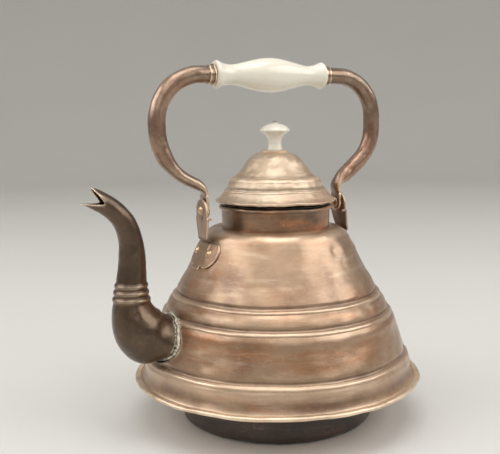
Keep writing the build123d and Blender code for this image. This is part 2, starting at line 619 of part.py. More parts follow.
def make_lid_sleeve():
    low, seat = NECK_BEAD_HEIGHT - SLEEVE_DEPTH, seat_height()
    under, over = (SLEEVE_R, seat - SEAT_HALF), (SLEEVE_R, seat + SEAT_HALF)
    lines = [line((SLEEVE_R, low), under), bowed(under, over, SEAT_PROUD),
             line(over, (SLEEVE_R, FLANGE_HEIGHT)), line((SLEEVE_R, FLANGE_HEIGHT), (BRIM_R, FLANGE_HEIGHT))]
    return turned_sheet(lines, SLEEVE_SHEET)


def disc(inner, outer, low, high):
    """Ring about the kettle's axis between two heights."""
    return extrude(Plane(origin=point(0, low)) * (Circle(outer) - Circle(inner)), high - low)


def make_lid_knob():
    """Porcelain knob: waisted stem under a mushroom cap."""
    foot = (KNOB_FOOT_R, ROSETTE_TOP)
    edge = (KNOB_CAP_R, ROSETTE_TOP + KNOB_EDGE_AT)
    stem = Spline(point(*foot), point(KNOB_STEM_R, ROSETTE_TOP + KNOB_STEM_AT), point(*edge),
                  tangents=((-0.2, 0, 1), (1, 0, 0.35)))
    rim = (KNOB_CAP_R, edge[1] + KNOB_EDGE)
    top = (KNOB_TOP_R, KNOB_TOP)
    lines = [stem, line(edge, rim), bowed(rim, top, KNOB_CAP_SWELL), line(top, (SCREW_R, KNOB_TOP)),
             line((SCREW_R, KNOB_TOP), (SCREW_R, ROSETTE_TOP)), line((SCREW_R, ROSETTE_TOP), foot)]
    return turned_solid(lines)


def make_lid_screw():
    """Screw with its head on the knob and its tail through the nut."""
    length = KNOB_TOP - NUT_TOP + NUT_THICK + SCREW_TAIL
    screw = rivet(SCREW_R, length, (SCREW_HEAD_R, SCREW_HEAD_RISE), (SCREW_TIP_R, SCREW_TIP))
    return Pos(*point(0, KNOB_TOP)) * screw


def make_lid_nut():
    hexagon = RegularPolygon(NUT_ACROSS / 2, 6, major_radius=False) - Circle(SCREW_R)
    return extrude(Plane(origin=point(0, NUT_TOP - NUT_THICK)) * hexagon, NUT_THICK)


def front(shape):
    """The same piece on the spout's side."""
    return [Rot(0, 0, 180) * piece for piece in shape] if isinstance(shape, list) else Rot(0, 0, 180) * shape


def make_parts():
    parts = {"body_shell": make_body_shell(), "sunken_base": make_sunken_base(),
             "base_flange": make_base_flange(), "neck_collar": make_neck_collar(),
             "neck_rim_wire": make_neck_rim_wire(), "spout": make_spout(), "spout_solder": make_spout_solder()}
    sides = (("front", -1, FRONT_EAR_FACE, FRONT_BENDS, FRONT_PRESS),
             ("rear", 1, REAR_EAR_FACE, REAR_BENDS, REAR_PRESS))
    for name, side, face, bends, press in sides:
        arm = make_handle_arm(TUBE_START - side * GRIP_SHIFT, bends, press, face)
        pieces = {"ear": make_ear(face), "ear_rivets": make_ear_rivets(), "pivot_rivet": make_pivot_rivet(face),
                  "pivot_washer": make_pivot_washer(face), "handle_arm": arm}
        for piece, shape in pieces.items():
            parts[f"{name}_{piece}"] = front(shape) if side < 0 else shape
        parts[f"{name}_ferrule"] = make_ferrule(side)
        parts[f"{name}_tube_plug"] = make_tube_plug(side)
    parts["grip_rod"] = make_grip_rod()
    parts["handle_grip"] = make_handle_grip()
    parts["lid_dome"] = make_lid_dome()
    parts["lid_sleeve"] = make_lid_sleeve()
    parts["lid_rosette"] = disc(SCREW_R, ROSETTE_R, LID_TOP, ROSETTE_TOP)
    parts["lid_knob"] = make_lid_knob()
    parts["lid_screw"] = make_lid_screw()
    parts["lid_washer"] = disc(SCREW_R, LID_WASHER_R, NUT_TOP, LID_CEILING)
    parts["lid_nut"] = make_lid_nut()
    return parts


def main():
    os.makedirs("parts", exist_ok=True)
    for name, shape in make_parts().items():
        solids = Compound(children=shape) if isinstance(shape, list) else shape
        export_step(solids, f"parts/{name}.step")


main()
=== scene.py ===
from math import atan, cos, pi, radians, sin, sqrt

import bmesh
import bpy
import numpy as np
from mathutils import Matrix, Vector
from mathutils.kdtree import KDTree
from mathutils.noise import noise as noise_at


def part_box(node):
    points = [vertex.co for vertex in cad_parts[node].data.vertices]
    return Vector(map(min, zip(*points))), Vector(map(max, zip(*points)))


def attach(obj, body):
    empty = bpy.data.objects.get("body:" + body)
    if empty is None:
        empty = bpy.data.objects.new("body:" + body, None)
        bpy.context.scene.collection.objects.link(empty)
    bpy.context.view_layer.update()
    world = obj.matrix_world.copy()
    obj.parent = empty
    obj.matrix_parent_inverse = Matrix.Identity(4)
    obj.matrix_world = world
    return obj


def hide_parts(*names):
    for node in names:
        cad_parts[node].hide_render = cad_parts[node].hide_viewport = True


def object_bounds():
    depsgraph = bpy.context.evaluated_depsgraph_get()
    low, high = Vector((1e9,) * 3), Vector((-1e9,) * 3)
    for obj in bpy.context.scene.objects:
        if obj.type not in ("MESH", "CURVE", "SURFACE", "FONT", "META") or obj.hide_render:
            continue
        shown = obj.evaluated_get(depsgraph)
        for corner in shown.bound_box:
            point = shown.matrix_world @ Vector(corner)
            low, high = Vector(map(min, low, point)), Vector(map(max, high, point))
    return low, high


bl_info = {
    "name": "Copper kettle",
    "version": (1, 0, 0),
    "blender": (4, 5, 0),
    "location": "View3D > Sidebar > Kettle",
    "description": "Dresses the frame of an old copper kettle with a porcelain grip and knob",
    "category": "Object",
}

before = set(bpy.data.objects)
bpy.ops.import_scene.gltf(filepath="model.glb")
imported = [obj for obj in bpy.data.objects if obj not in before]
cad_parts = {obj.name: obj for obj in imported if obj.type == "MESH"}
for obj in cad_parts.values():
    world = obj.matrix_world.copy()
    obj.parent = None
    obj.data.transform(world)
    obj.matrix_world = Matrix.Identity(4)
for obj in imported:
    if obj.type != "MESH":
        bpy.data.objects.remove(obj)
CAD_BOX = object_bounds()
MM = 0.001
PIVOT_Z = 161.6 * MM          # line through the handle's two pivots
GRIP_Z = 259.9 * MM           # line through the rod of the grip

# filled by main()
MATERIALS = {}
TREES = {}


# ---- Colours and nodes ----

def linear(code):
    """sRGB hex code as linear red, green, blue."""
    parts = [int(code[i:i + 2], 16) / 255 for i in (1, 3, 5)]
    return [c / 12.92 if c <= 0.04045 else ((c + 0.055) / 1.055) ** 2.4 for c in parts]


def hues(*codes):
    return [linear(code) for code in codes]


def add(tree, kind, inputs=(), output=0, **settings):
    """Adds a node, sets or links its inputs, by name or in order, and returns one of its outputs."""
    node = tree.nodes.new(kind)
    for name, value in settings.items():
        setattr(node, name, value)
    for key, value in inputs.items() if isinstance(inputs, dict) else enumerate(inputs):
        if isinstance(value, bpy.types.NodeSocket):
            tree.links.new(value, node.inputs[key])
        else:
            node.inputs[key].default_value = value
    return node.outputs[output] if node.outputs else None


# what every colour and every length on the panel share
COLOR = {"subtype": "COLOR", "size": 3, "min": 0, "max": 1}
LENGTH = {"subtype": "DISTANCE", "unit": "LENGTH"}


class KettleFinish(bpy.types.PropertyGroup):
    """Colours of the metals and the porcelain."""
    body: bpy.props.FloatVectorProperty(
        name="Body copper", description="Main brown of the body", default=linear("#a88a6e"), **COLOR)
    lid: bpy.props.FloatVectorProperty(
        name="Lid copper", description="Paler, rubbed copper of the lid", default=linear("#c1ac94"), **COLOR)
    spout: bpy.props.FloatVectorProperty(
        name="Spout copper", description="Dark bronze brown of the spout", default=linear("#544333"), **COLOR)
    tube: bpy.props.FloatVectorProperty(
        name="Handle copper", description="Brown of the handle's tubes", default=linear("#725a46"), **COLOR)
    rivet: bpy.props.FloatVectorProperty(
        name="Rivet copper", description="Rubbed heads of the rivets", default=linear("#c8ab8a"), **COLOR)
    porcelain: bpy.props.FloatVectorProperty(
        name="Porcelain", description="Cream white of the grip and knob", default=linear("#ddd8c8"), **COLOR)


class KettleShape(bpy.types.PropertyGroup):
    """How far the old metal has moved from its drawn shape."""
    wave_depth: bpy.props.FloatProperty(
        name="Wave depth", description="How far the sheet wanders", default=0.5 * MM, min=0, **LENGTH)
    wave_size: bpy.props.FloatProperty(
        name="Wave size", description="Distance between waves", default=26 * MM, min=MM, **LENGTH)
    buckle_depth: bpy.props.FloatProperty(
        name="Buckle depth", description="How far small buckles stand out", default=0.2 * MM, min=0, **LENGTH)
    buckle_size: bpy.props.FloatProperty(
        name="Buckle size", description="Distance between buckles", default=12 * MM, min=MM, **LENGTH)
    hammer_depth: bpy.props.FloatProperty(
        name="Hammer depth", description="Depth of the planishing marks", default=0.06 * MM, min=0, **LENGTH)
    hammer_size: bpy.props.FloatProperty(
        name="Hammer size", description="Width of the planishing marks", default=5 * MM, min=MM, **LENGTH)
    seed: bpy.props.FloatProperty(
        name="Seed", description="Another value gives other waves", default=3.0, subtype="NONE")


class KettleStage(bpy.types.PropertyGroup):
    """Floor and light."""
    floor: bpy.props.FloatVectorProperty(
        name="Floor", description="Colour of the floor and its sweep", default=linear("#cfcdc9"), **COLOR)
    key: bpy.props.FloatProperty(
        name="Key light", description="Brightness of the soft boxes", default=1.55, min=0, subtype="FACTOR")
    sky: bpy.props.FloatProperty(
        name="Overhead light", description="Strength of the even light from above", default=0.6, min=0,
        subtype="FACTOR")
    walls: bpy.props.FloatProperty(
        name="Wall light", description="Strength of the even light near the horizon", default=0.34, min=0,
        subtype="FACTOR")


def hue(color, factor=1.0):
    """A colour with alpha, brighter or darker by a factor."""
    return (color[0] * factor, color[1] * factor, color[2] * factor, 1.0)


# ---- Materials ----

def new_material(name):
    """Empty material and its node tree."""
    material = bpy.data.materials.new(name)
    material.use_nodes = True
    tree = material.node_tree
    tree.nodes.clear()
    return material, tree


# Settings that like nodes share, and the order of their inputs:
NOISE = {"noise_dimensions": "4D"}               # place, seed, scale, detail, roughness
EASED = {"interpolation_type": "SMOOTHSTEP"}     # value, its least and most, what these become
TINTED = {"data_type": "RGBA"}                   # 0 share, 6 colour under, 7 colour over; output 2


def patinated(name, base, dark, pale, warm, edge, crust, rough=(0.35, 0.48), metal=0.84, streak=7.0,
              dark_share=0.55, warm_share=0.7, pale_share=0.4, scratch_share=0.16, coat=0.8, seed=0.0):
    """Copper gone brown: clouds of oxide, rubbed streaks, warm cuprite, bright edges, dark creases."""
    material, tree = new_material(name)
    coords = add(tree, "ShaderNodeTexCoord", output="Object")
    drawn_out, half_drawn = [add(tree, "ShaderNodeMapping", {"Vector": coords, "Scale": (1, 1, length)})
                             for length in (streak, 0.5 * streak)]
    # place, size in millimetres, detail and roughness; polish marks, pits and crumbs of crust are finer
    # than this in life, and are drawn coarse enough to show
    clouds, wiped, brushed, patches, grain, powder, ripple, tints, paths = [
        add(tree, "ShaderNodeTexNoise", (place, seed + k, 1 / (size * MM), detail, grit), **NOISE)
        for k, (place, size, detail, grit) in enumerate((
            (coords, 34, 5, 0.6), (drawn_out, 42, 6, 0.62), (drawn_out, 5, 4, 0.7), (coords, 17, 5, 0.6),
            (coords, 1.1, 2, 0.6), (coords, 2.2, 4, 0.7), (coords, 3.5, 2, 0.5), (half_drawn, 60, 7, 0.66),
            (coords, 13, 3, 0.55)))]
    wear_and_highlight, grime_and_shade, bloom = [add(tree, "ShaderNodeAttribute", output="Fac", attribute_name=kind)
                          for kind in ("wear_and_highlight", "grime_and_shade", "bloom")]
    # hair scratches run where the paths' clouds are half-way between dark and light
    middle = add(tree, "ShaderNodeMath", (paths, 0.5), operation="SUBTRACT")
    off_path = add(tree, "ShaderNodeMath", (middle,), operation="ABSOLUTE")
    lines = add(tree, "ShaderNodeMapRange", (off_path, 0.0, 0.007, scratch_share, 0.0), **EASED)
    # marks that are stronger where a pattern is: the pattern, its least and most, the shares there
    scratched, rubbed_and_highlit, soiled_and_shaded = [
        add(tree, "ShaderNodeMath", (mark, add(tree, "ShaderNodeMapRange", eased, **EASED)),
            operation="MULTIPLY")
        for mark, eased in ((lines, (tints, 0.4, 0.6, 0.0, 1.0)), (wear_and_highlight, (patches, 0.25, 0.6, 0.45, 1.0)),
                            (grime_and_shade, (clouds, 0.3, 0.7, 0.55, 1.0)))]
    crusted = add(tree, "ShaderNodeMath", (bloom, powder), operation="ADD")
    crumbs = add(tree, "ShaderNodeMapRange", (crusted, 0.95, 1.25, 0.0, 1.0), **EASED)
    covers = [(add(tree, "ShaderNodeMapRange", (pattern, least, most, 0.0, share), **EASED), hue(over))
              for pattern, least, most, share, over in (
                  (clouds, 0.42, 0.68, dark_share, dark), (tints, 0.44, 0.66, warm_share, warm),
                  (wiped, 0.50, 0.68, pale_share, pale), (brushed, 0.52, 0.75, 0.35, pale),
                  (grain, 0.58, 0.8, 0.3, dark))]
    # rubbed edges and painted highlights turn the colour pale; dirt and painted shade turn it dark
    covers += [(scratched, hue(edge)), (rubbed_and_highlit, hue(edge)), (soiled_and_shaded, hue(dark, 0.3)), (crumbs, hue(crust))]
    color = hue(base)
    for share, over in covers:
        color = add(tree, "ShaderNodeMix", {0: share, 6: color, 7: over}, 2, **TINTED)
    even = add(tree, "ShaderNodeMapRange", (clouds, 0.3, 0.7, *rough), **EASED)
    sums = []
    for total, parts in ((even, ((soiled_and_shaded, 0.25), (crumbs, 0.3))),
                         (metal, ((soiled_and_shaded, -0.5), (crumbs, -1.0))),
                         (0.0, ((brushed, 0.35), (grain, 0.35), (ripple, 0.8)))):
        for part, weight in parts:
            total = add(tree, "ShaderNodeMath", (part, weight, total), operation="MULTIPLY_ADD")
        sums.append(total)
    roughness, metallic, relief = sums
    bump = add(tree, "ShaderNodeBump", {"Height": relief, "Distance": 0.07 * MM, "Strength": 1.0})
    shader = add(tree, "ShaderNodeBsdfPrincipled", {
        "Base Color": color, "Roughness": roughness, "Metallic": metallic, "Normal": bump,
        "Coat Weight": add(tree, "ShaderNodeMapRange", (soiled_and_shaded, 0.0, 1.0, coat, 0.0), **EASED),
        "Coat Roughness": 0.3})
    add(tree, "ShaderNodeOutputMaterial", {"Surface": shader})
    return material


def plain_metal(name, base, dark, size, rough, depth, metal=0.9, seed=0.0):
    """A dull metal with oxide clouds and a fine bitten surface."""
    material, tree = new_material(name)
    coords = add(tree, "ShaderNodeTexCoord", output="Object")
    clouds = add(tree, "ShaderNodeTexNoise", (coords, seed, 1 / size, 5, 0.65), **NOISE)
    grain = add(tree, "ShaderNodeTexNoise", (coords, seed + 1, 1 / (0.9 * MM), 3, 0.6), **NOISE)
    wear_and_highlight = add(tree, "ShaderNodeAttribute", output="Fac", attribute_name="wear_and_highlight")
    covers = ((add(tree, "ShaderNodeMapRange", (clouds, 0.35, 0.65, 0.0, 1.0), **EASED), hue(dark)),
              (add(tree, "ShaderNodeMath", (wear_and_highlight, 0.6), operation="MULTIPLY"), hue(base, 1.35)))
    color = hue(base)
    for share, over in covers:
        color = add(tree, "ShaderNodeMix", {0: share, 6: color, 7: over}, 2, **TINTED)
    relief = add(tree, "ShaderNodeMath", (clouds, grain), operation="ADD")
    bump = add(tree, "ShaderNodeBump", {"Height": relief, "Distance": depth, "Strength": 1.0})
    shader = add(tree, "ShaderNodeBsdfPrincipled", {
        "Base Color": color, "Metallic": metal, "Normal": bump,
        "Roughness": add(tree, "ShaderNodeMapRange", (clouds, 0.3, 0.7, rough - 0.07, rough + 0.1), **EASED)})
    add(tree, "ShaderNodeOutputMaterial", {"Surface": shader})
    return material


def glazed_porcelain(name, white):
    """Fired white clay under a clear glaze: faint crazing, a few brown stains, tiny pinholes."""
    material, tree = new_material(name)
    coords = add(tree, "ShaderNodeTexCoord", output="Object")
    clouds = add(tree, "ShaderNodeTexNoise", (coords, 1.0, 1 / (14 * MM), 4, 0.6), **NOISE)
    specks = add(tree, "ShaderNodeTexNoise", (coords, 2.0, 1 / (1.6 * MM), 2, 0.5), **NOISE)
    cells = add(tree, "ShaderNodeTexVoronoi", {"Vector": coords, "Scale": 1 / (7 * MM)}, "Distance",
                feature="DISTANCE_TO_EDGE")
    grime_and_shade = add(tree, "ShaderNodeAttribute", output="Fac", attribute_name="grime_and_shade")
    stained, crazed, cracks, pinholes, roughness = [
        add(tree, "ShaderNodeMapRange", eased, **EASED)
        for eased in ((clouds, 0.35, 0.7, 0.0, 0.5), (clouds, 0.45, 0.65, 0.0, 0.22),
                      (cells, 0.0, 0.03, 1.0, 0.0), (specks, 0.70, 0.76, 0.0, 0.35),
                      (clouds, 0.3, 0.7, 0.10, 0.2))]
    crazing, soiled_and_shaded = [add(tree, "ShaderNodeMath", factors, operation="MULTIPLY")
                       for factors in ((cracks, crazed), (grime_and_shade, 0.55))]
    color = hue(white)
    for share, code in ((stained, "#ddd5c2"), (crazing, "#a08a68"), (pinholes, "#94806a"),
                        (soiled_and_shaded, "#8d7c63")):
        color = add(tree, "ShaderNodeMix", {0: share, 6: color, 7: hue(linear(code))}, 2, **TINTED)
    bump = add(tree, "ShaderNodeBump", {"Height": clouds, "Distance": 0.12 * MM, "Strength": 1.0})
    shader = add(tree, "ShaderNodeBsdfPrincipled", {
        "Base Color": color, "Roughness": roughness, "Normal": bump, "IOR": 1.5,
        "Coat Weight": 0.4, "Coat Roughness": 0.06})
    add(tree, "ShaderNodeOutputMaterial", {"Surface": shader})
    return material


def make_materials():
    tone = bpy.context.scene.kettle_finish
    shared = {"edge": linear("#f0d6b8"), "crust": linear("#b9b6a2")}
    MATERIALS.update(
        # hand-raised copper sheet, brown with age: soft broad highlights, warmer where the oxide is thin
        body=patinated("planished_brown_copper", tone.body, *hues("#6a4a36", "#d1bca3", "#9c653a"),
                       dark_share=0.68, seed=1.0, **shared),
        # the same sheet round the neck, made darker and more orange: painted dark and orange reflections
        neck=patinated("neck_copper_painted_reflections", *hues("#87684d", "#403026", "#ab8a6c", "#bb7644"),
                       dark_share=0.75, seed=5.0, **shared),
        # edge of the base, folded over, rubbed pale and given a painted highlight along its edge
        rim=patinated("rubbed_and_highlit_copper_fold", *hues("#7f6047", "#5c422f", "#e4ceb2", "#a8683f"),
                      pale_share=0.3, seed=1.0, **shared),
        # spun copper, wiped paler than the body
        lid=patinated("spun_tan_copper", tone.lid, *hues("#9e866d", "#dfd2c0", "#bb9274"), rough=(0.42, 0.54),
                      warm_share=0.4, scratch_share=0.35, coat=0.4, seed=11.0, **shared),
        # the body's copper on the spout, darkened like bronze by steam and handling
        spout=patinated("bronzed_dark_copper", tone.spout, *hues("#33271c", "#87735a", "#664631"),
                        rough=(0.24, 0.36), metal=0.88, streak=1.0, dark_share=0.4, warm_share=0.3,
                        pale_share=0.2, scratch_share=0.0, coat=0.5, seed=21.0, **shared),
        # the drum's copper, near black and dull
        base=patinated("near_black_drum_copper", *hues("#3d322b", "#1d1815", "#5d4a3c", "#4a3226"),
                       rough=(0.5, 0.7), metal=0.5, seed=31.0, **shared),
        # drawn tube, bent hot and rubbed by hands
        tube=patinated("bent_copper_tube", tone.tube, *hues("#543f32", "#bfa993", "#945f46"),
                       rough=(0.24, 0.38), metal=0.85, streak=1.0, warm_share=0.5, scratch_share=0.0,
                       seed=41.0, **shared),
        # cut and folded copper strap
        ear=patinated("cut_copper_strap", *hues("#9c7b5c", "#5e4533", "#bea182", "#a4755a"),
                      streak=1.0, warm_share=0.35, seed=51.0, **shared),
        # copper rivets, their heads rubbed bright
        rivet=plain_metal("worn_rivet_copper", tone.rivet, linear("#8a6a4f"), 4 * MM, 0.34, 0.05 * MM,
                          seed=61.0),
        # tin wiped over copper, gone nearly black
        sleeve=plain_metal("blackened_tin", *hues("#4a453f", "#26231f"), 16 * MM, 0.36, 0.05 * MM, seed=71.0),
        # lead and tin solder with a dry grey-green crust
        solder=patinated("crusted_soft_solder",
                         *hues("#85755f", "#463a2d", "#a89c86", "#7a5c45", "#d5cdb9", "#d8d2c0"),
                         rough=(0.45, 0.62), metal=0.35, streak=1.0, seed=81.0),
        # plain iron, brown-black with age
        iron=plain_metal("dark_iron_wire", *hues("#4c4843", "#2b2826"), 6 * MM, 0.5, 0.05 * MM, seed=91.0),
        # steel screw, dulled
        steel=plain_metal("dull_steel_screw", *hues("#d2cbbb", "#a39c8c"), 5 * MM, 0.4, 0.03 * MM,
                          seed=101.0),
        # white clay under a clear glaze
        porcelain=glazed_porcelain("glazed_white_porcelain", tone.porcelain),
    )


# ---- Meshes ----

SAME_POINT = 1e-6             # points closer than this, in metres, are one
NOISE_GAIN = 4.0              # noise seldom strays more than a quarter from its middle


def merged(node):
    """Copy of a CAD node's mesh with its loose triangles joined."""
    bm = bmesh.new()
    bm.from_mesh(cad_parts[node].data)
    bmesh.ops.remove_doubles(bm, verts=bm.verts, dist=SAME_POINT)
    return bm


def mesh_object(name, mesh):
    thing = bpy.data.objects.new(name, mesh)
    bpy.context.scene.collection.objects.link(thing)
    return thing


def bmesh_object(name, bm):
    mesh = bpy.data.meshes.new(name)
    bm.to_mesh(mesh)
    bm.free()
    return mesh_object(name, mesh)


def baked(thing):
    """Mesh of an object with its modifiers applied."""
    graph = bpy.context.evaluated_depsgraph_get()
    mesh = bpy.data.meshes.new_from_object(thing.evaluated_get(graph), depsgraph=graph)
    thing.modifiers.clear()
    thing.data = mesh
    return thing


def tree_inputs(tree, *sockets):
    """Gives a node tree its named inputs, each with a kind and a default, and returns them."""
    for name, kind, value in sockets:
        socket = tree.interface.new_socket(name, in_out="INPUT", socket_type=kind)
        if value is not None:
            socket.default_value = value
    tree.interface.new_socket("Geometry", in_out="OUTPUT", socket_type="NodeSocketGeometry")
    return tree.nodes.new("NodeGroupInput").outputs


def closing(tree, geometry, finish):
    """Ends a node tree: real faces, one material, the output."""
    real = add(tree, "GeometryNodeRealizeInstances", {"Geometry": geometry})
    coated = add(tree, "GeometryNodeSetMaterial", {"Geometry": real, "Material": finish})
    add(tree, "NodeGroupOutput", {"Geometry": coated})
    return tree


def with_nodes(thing, tree, **values):
    """Puts a node tree on an object and sets its named inputs."""
    modifier = thing.modifiers.new(tree.name, "NODES")
    modifier.node_group = tree
    for item in tree.interface.items_tree:
        if item.item_type == "SOCKET" and item.in_out == "INPUT" and item.name in values:
            modifier[item.identifier] = values[item.name]
    return thing


def turning_tree():
    """Turns an outline of points round Z into a closed skin."""
    tree = bpy.data.node_groups.new("Turned sheet", "GeometryNodeTree")
    given = tree_inputs(tree, ("Outline", "NodeSocketGeometry", None), ("Points", "NodeSocketInt", 100),
                        ("Segments", "NodeSocketInt", 180), ("Finish", "NodeSocketMaterial", None))
    points, segments = given["Points"], given["Segments"]
    columns = add(tree, "ShaderNodeMath", (segments, 1.0), operation="ADD")
    grid = add(tree, "GeometryNodeMeshGrid", {"Vertices X": columns, "Vertices Y": points})
    index = add(tree, "GeometryNodeInputIndex")
    row = add(tree, "ShaderNodeMath", (index, points), operation="MODULO")
    share = add(tree, "ShaderNodeMath", (index, points), operation="DIVIDE")
    column = add(tree, "ShaderNodeMath", (share,), operation="FLOOR")
    turn = add(tree, "ShaderNodeMath", (column, segments), operation="DIVIDE")
    angle = add(tree, "ShaderNodeMath", (turn, 2 * pi), operation="MULTIPLY")
    place = add(tree, "GeometryNodeInputPosition")
    spot = add(tree, "GeometryNodeSampleIndex", {"Geometry": given["Outline"], "Value": place, "Index": row},
               data_type="FLOAT_VECTOR")
    swung = add(tree, "ShaderNodeVectorRotate", {"Vector": spot, "Angle": angle}, rotation_type="Z_AXIS")
    moved = add(tree, "GeometryNodeSetPosition", {"Geometry": grid, "Position": swung})
    closed = add(tree, "GeometryNodeMergeByDistance", {"Geometry": moved, "Distance": SAME_POINT})
    return closing(tree, closed, given["Finish"])


def waving_tree():
    """Lets old sheet metal wander a little, the same way on every piece that meets there."""
    tree = bpy.data.node_groups.new("Old sheet", "GeometryNodeTree")
    kinds = ("Wave", "Buckle", "Hammer")
    sizes = [(f"{kind} {side}", "NodeSocketFloat", MM) for kind in kinds for side in ("depth", "size")]
    given = tree_inputs(tree, ("Sheet", "NodeSocketGeometry", None), *sizes,
                        ("Seed", "NodeSocketFloat", 0.0), ("Finish", "NodeSocketMaterial", None))
    place = add(tree, "GeometryNodeInputPosition")
    shift = (0.0, 0.0, 0.0)
    for kind in kinds:
        often = add(tree, "ShaderNodeMath", (1.0, given[f"{kind} size"]), operation="DIVIDE")
        field = add(tree, "ShaderNodeTexNoise", (place, given["Seed"], often, 1.0), "Color", **NOISE)
        even = add(tree, "ShaderNodeVectorMath", (field, (0.5, 0.5, 0.5)), operation="SUBTRACT")
        reach = add(tree, "ShaderNodeMath", (given[f"{kind} depth"], NOISE_GAIN), operation="MULTIPLY")
        step = add(tree, "ShaderNodeVectorMath", {0: even, "Scale": reach}, operation="SCALE")
        shift = add(tree, "ShaderNodeVectorMath", (shift, step), operation="ADD")
    moved = add(tree, "GeometryNodeSetPosition", {"Geometry": given["Sheet"], "Offset": shift})
    return closing(tree, moved, given["Finish"])


def outline(node, turn):
    """Outline of a turned CAD node in one half plane, as (radius, height) pairs in order."""
    bm = merged(node)
    bmesh.ops.transform(bm, matrix=turn.inverted(), verts=bm.verts)
    for normal in ((0, 1, 0), (1, 0, 0)):
        everything = bm.verts[:] + bm.edges[:] + bm.faces[:]
        cut = bmesh.ops.bisect_plane(bm, geom=everything, dist=1e-7, plane_co=(0, 0, 0), plane_no=normal,
                                     clear_inner=True)["geom_cut"]
    edges = [e for e in cut if isinstance(e, bmesh.types.BMEdge)]
    near = {}
    for edge in edges:
        for one, other in (edge.verts, reversed(edge.verts)):
            near.setdefault(one, []).append(other)
    ends = [v for v, others in near.items() if len(others) == 1]
    start = ends[0] if ends else next(iter(near))
    chain, seen = [start], {start}
    while True:
        following = [v for v in near[chain[-1]] if v not in seen]
        if not following:
            break
        chain.append(following[0])
        seen.add(following[0])
    points = [(max(v.co.y, 0.0), v.co.z) for v in chain]
    bm.free()
    if len(seen) != len(near):
        raise RuntimeError(f"{node}: the outline has {len(near)} points and the chain {len(seen)}")
    if not ends:
        points.append(points[0])
    area = sum(a[0] * b[1] - b[0] * a[1] for a, b in zip(points, points[1:] + points[:1]))
    return np.array(points if area > 0 else points[::-1])


STRAIGHT = 0.1                # bends that turn less than this need no rounding
NEARLY_HALF = 0.45            # most of a side that the rounding of one corner takes


def softened(points, corner, step):
    """The same outline with rounded corners and evenly filled with points."""
    closed = np.allclose(points[0], points[-1])
    kept = [points[0]]
    for p in points[1:]:
        if np.linalg.norm(p - kept[-1]) > 1e-7:
            kept.append(p)
    ring = kept[:-1] if closed else kept
    rounded = []
    for i, p in enumerate(ring):
        if not closed and i in (0, len(ring) - 1):
            rounded.append(p)
            continue
        before, after = ring[i - 1] - p, ring[(i + 1) % len(ring)] - p
        back, ahead = np.linalg.norm(before), np.linalg.norm(after)
        bend = 1 + np.dot(before, after) / (back * ahead)
        if bend < STRAIGHT:
            rounded.append(p)
            continue
        reach = min(corner, NEARLY_HALF * back, NEARLY_HALF * ahead)
        one, two = p + before / back * reach, p + after / ahead * reach
        rounded += [(1 - t) ** 2 * one + 2 * t * (1 - t) * p + t * t * two for t in (0, 0.33, 0.67, 1)]
    if closed:
        rounded.append(rounded[0])
    filled = [rounded[0]]
    for p in rounded[1:]:
        gap = p - filled[-1]
        parts = max(1, int(np.ceil(np.linalg.norm(gap) / step)))
        start = filled[-1]
        filled += [start + gap * (k + 1) / parts for k in range(parts)]
    return np.array(filled)


UPRIGHT = Matrix.Identity(4)
# height of each crease and how far the sheet rolls out below it; the lid's are above its brim
BODY_CREASES = ((51.9 * MM, 1.7 * MM), (85.0 * MM, 1.1 * MM), (98.3 * MM, 0.7 * MM))
LID_CREASES = ((9.6 * MM, 0.4 * MM), (18.8 * MM, 0.4 * MM))
# bands of painted light: a painted highlight along the shoulder, over the top of the foot and along the rim's
# edge (there also rubbed wear), and a painted shade low on the foot: attribute, height and width in
# millimetres, and how much
BANDS = {"body_shell": (("wear_and_highlight", 143.5, 2.2, 0.4), ("wear_and_highlight", 46.5, 3.5, 0.4), ("grime_and_shade", 38.5, 2.6, 0.32),
                        ("wear_and_highlight", 33.2, 1.3, 1.1)),
         "base_flange": (("wear_and_highlight", 31.5, 4.0, 1.6),)}
# the ears, in millimetres
LEAN = 14.1 / 28              # how fast the cone narrows with height
LOBE_Z = 130.2                # middle of the lobes
LOBE_R = 68.9 - LEAN * 17.2   # the cone's radius there
LOBE_RIVET_Y = 11.3           # each lobe's rivet, to either side
SHEET = 1.5                   # thickness of the strap
FOLD_Z = 139.5                # the strap's fold
PIT = (-62.2, -1.5, 156.3)    # bitten spot under the front pivot
PIN_HEADS_X = (-61.2, 57.3)   # where the pivot rivets' heads sit


def bell(value, middle, width, power=2):
    """Share from 0 to 1 that is highest at a middle and fades over a width."""
    return np.exp(-(abs((value - middle) / width)) ** power)


def lying(height):
    """Turns the Z axis to a line along X at a height."""
    return Matrix.Translation((0, 0, height)) @ Matrix.Rotation(radians(90), 4, "Y")


def knob_outline():
    """Outline of the knob: trumpet stem under a mushroom cap, inside the frame's knob."""
    low, high = [corner.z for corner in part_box("lid_knob")]
    side = [(6.0, 0.0), (5.75, 1.2), (5.3, 3.0), (4.95, 4.8), (4.9, 6.2), (5.15, 7.8), (5.75, 9.4),
            (6.7, 10.9), (8.1, 12.3), (9.8, 13.4), (11.2, 14.2), (11.55, 14.7), (11.4, 15.2), (10.6, 16.4),
            (9.2, 17.8), (7.4, 18.9), (5.2, 19.7), (3.4, 20.0), (3.0, 20.4)]
    scale = (high - low) / 20.4
    points = [(r * MM, low + z * scale) for r, z in side]
    points += [(1.5 * MM, points[-1][1]), (1.5 * MM, low), points[0]]
    return np.array(points)


